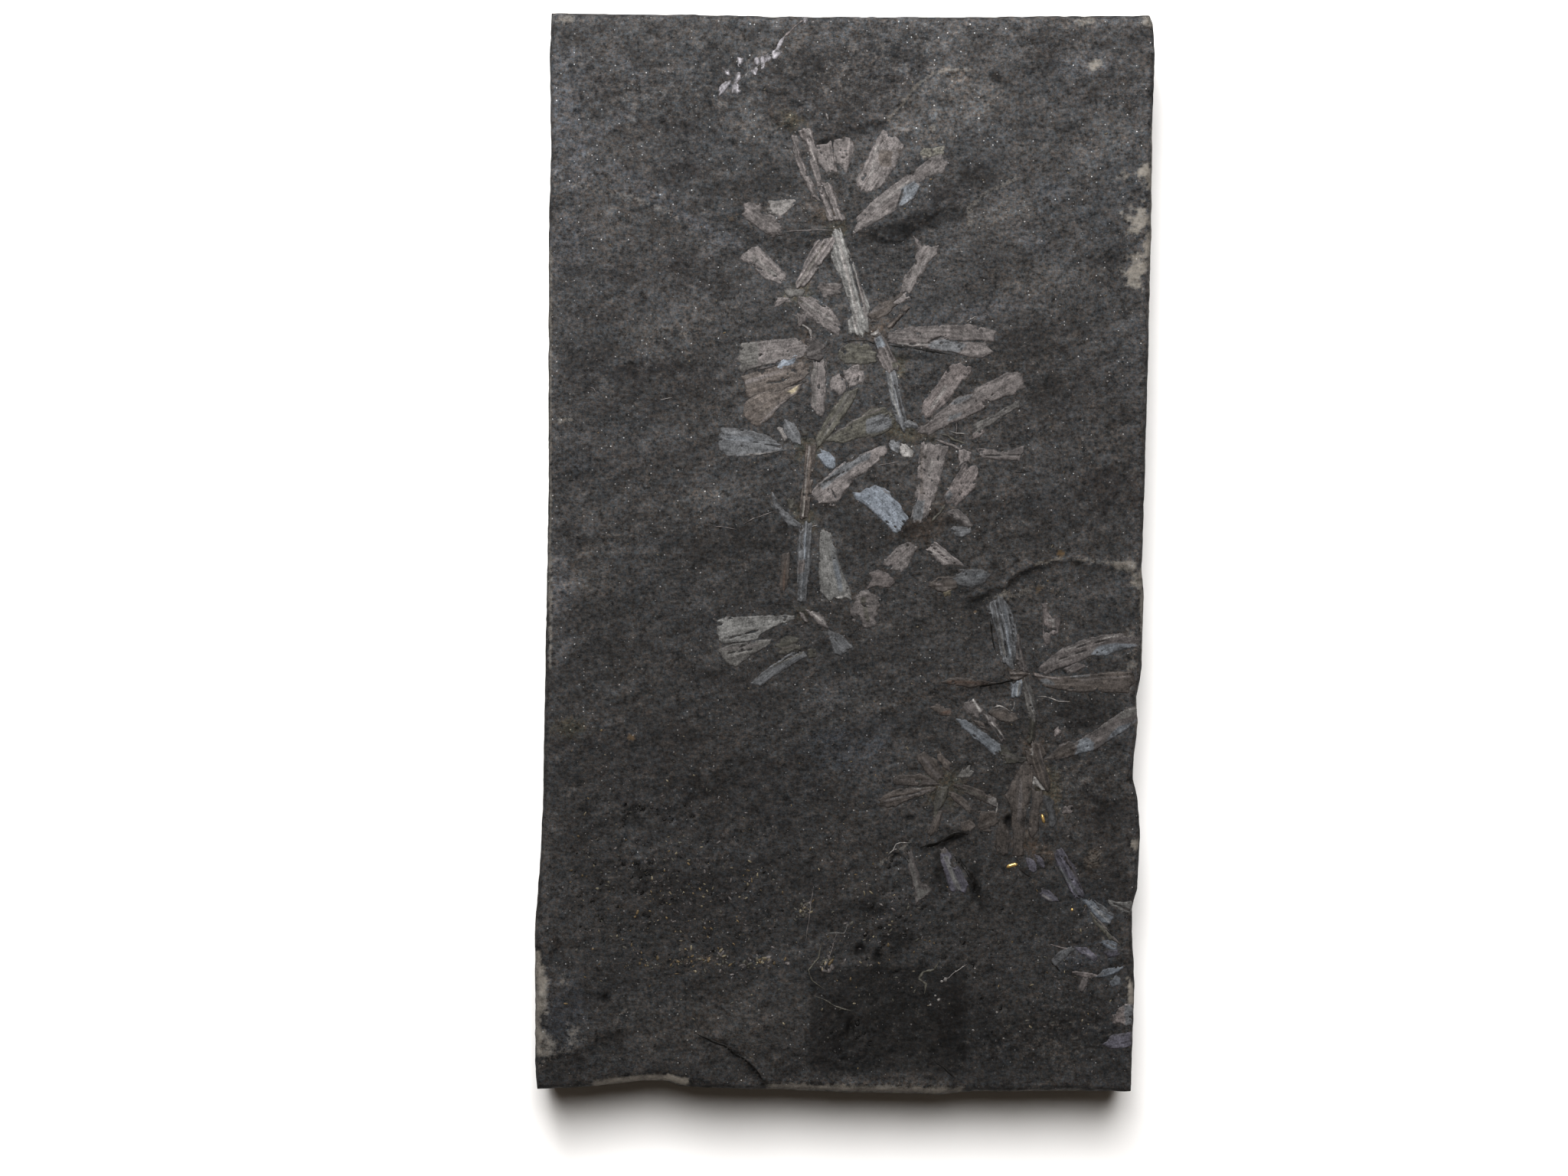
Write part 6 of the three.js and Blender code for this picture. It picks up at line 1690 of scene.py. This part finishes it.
def make_flecks(random, mineral):
    """Tan and olive crumbs in loose fields."""
    flecks = []
    for (x0, y0, x1, y1), count, size in FLECK_FIELDS:
        for _ in range(count):
            tint = random.choice(FLECK_TINTS)
            x = (x0 + x1) / 2 + (x1 - x0) * random.normal(0, FLECK_SPREAD)
            y = (y0 + y1) / 2 + (y1 - y0) * random.normal(0, FLECK_SPREAD)
            if abs(x) < FLECK_REACH[0] and abs(y) < FLECK_REACH[1]:
                half = size * random.uniform(0.3, 1.2)
                flecks.append(crystal_body(x, y, half, tint, random, most=0.05, longest=2.6))
    join_bodies("tan_flecks", flecks, mineral)


def make_minerals():
    """Threads, cracks and a painted step shadow, the white vein, crystals, flecks, mica grains and the gold
    flecks.
    """
    random = np.random.default_rng(77)
    mineral = film_material("mineral_grains", 0.5, 0.4)
    threads = [thread_body(line, width, tint, n) for n, (tint, width, *line) in enumerate(THREADS)]
    join_bodies("plant_threads", threads, mineral)
    # dark ridges along the cracks, one of them a painted shadow below a torn step, and dark crumbs in the
    # small pits
    cracks = [
        thread_body(line, width, "dark", 60 + n, height=0.03) for n, (width, *line) in enumerate(CRACKS_AND_STEP_SHADOW)
    ]
    for x, y, half_width, half_height, _ in ALL_PITS[len(PITS):]:
        cracks.append(crystal_body(x, y, (half_width + half_height) / 2, "dark", random, most=0.02))
    join_bodies("dark_cracks_and_step_shadow", cracks, mineral)
    vein = [
        thread_body(line, width, tint, 90 + n, height=0.05, uneven=0.8)
        for n, (tint, width, *line) in enumerate(VEIN_THREADS)
    ]
    for n, outline in enumerate(VEIN_BLOBS):
        vein.append(film_body(film("quartz", outline, wear=0.7, soft=0.8), 300 + n))
    join_bodies("white_vein", vein, mineral)
    make_crystals(random, mineral)
    make_flecks(random, mineral)
    gold = film_material("gold_fleck", 0.35, 0.3)
    gold.node_tree.nodes["Principled BSDF"].inputs["Metallic"].default_value = 0.6
    flecks = [
        thread_body([start, end], 2 * half, "gold", 95 + n, height=0.15, uneven=0.1)
        for n, (start, end, half) in enumerate(GOLD)
    ]
    join_bodies("gold_flecks", flecks, gold)


def make_floor():
    """A plain pale floor under the plate."""
    half = FLOOR_REACH
    floor = bpy.data.meshes.new("pale_floor")
    corners = [(-half, -half), (half, -half), (half, half), (-half, half)]
    floor.from_pydata([(x * MM, y * MM, -FLOOR_DROP * MM) for x, y in corners], [], [(0, 1, 2, 3)])
    piece = bpy.data.objects.new("pale_floor", floor)
    bpy.context.scene.collection.objects.link(piece)
    s = Shader("pale_floor")
    grain = s.noise(s.place(), 12, 2.0)
    s.link(s.mix(s.ramp(grain, 0.3, 0.7), FLOOR_DARK, FLOOR_LIGHT), "Base Color")
    s.surface.inputs["Roughness"].default_value = 0.9
    s.surface.inputs["Specular IOR Level"].default_value = FILM_GLOSS
    floor.materials.append(s.material)


def add_lamp(name, lamp, power, way):
    """A lamp that shines from the way given, towards the plate."""
    lamp.energy = power
    lamp.color = LAMP_COLOR
    placed = bpy.data.objects.new(name, lamp)
    placed.rotation_mode = "QUATERNION"
    placed.rotation_quaternion = Vector(way).to_track_quat("Z", "Y")
    bpy.context.scene.collection.objects.link(placed)
    return placed


def make_light():
    """Soft studio light from above the plate's upper edge, and a pale low surround."""
    sun = bpy.data.lights.new("key", "SUN")
    sun.angle = math.radians(SUN_ANGLE)
    add_lamp("key", sun, SUN_POWER, SUN_WAY)
    area = bpy.data.lights.new("upper_panel", "AREA")
    area.size = PANEL_SIZE
    panel = add_lamp("upper_panel", area, PANEL_POWER, PANEL_WAY)
    panel.location = Vector(PANEL_PLACE) * MM
    panel.visible_camera = False
    world = bpy.data.worlds.new("pale_surround")
    bpy.context.scene.world = world
    world.use_nodes = True
    tree = world.node_tree
    background = tree.nodes["Background"]
    coords = tree.nodes.new("ShaderNodeTexCoord")
    parts = tree.nodes.new("ShaderNodeSeparateXYZ")
    band = tree.nodes.new("ShaderNodeMapRange")
    tree.links.new(coords.outputs["Generated"], parts.inputs[0])
    tree.links.new(parts.outputs[2], band.inputs[0])
    for socket, value in zip(band.inputs[1:5], SURROUND_BAND + SURROUND_LIGHT):
        socket.default_value = value
    background.inputs["Color"].default_value = SURROUND_COLOR
    tree.links.new(band.outputs[0], background.inputs["Strength"])


def make_camera():
    """The camera of the photograph, straight above the plate."""
    lens = bpy.data.cameras.new("camera")
    lens.lens = LENS
    lens.sensor_width = SENSOR
    lens.clip_start = 0.01
    lens.clip_end = 100
    camera = bpy.data.objects.new("camera", lens)
    camera.location = Vector(CAMERA_PLACE) * MM
    bpy.context.scene.collection.objects.link(camera)
    bpy.context.scene.camera = camera
    bpy.context.scene.view_settings.view_transform = "Standard"
    bpy.context.scene.view_settings.gamma = GAMMA


make_camera()
stone = make_stone()
stone.data.materials.append(stone_material())
make_films()
make_minerals()
make_floor()
make_light()

bpy.context.view_layer.update()
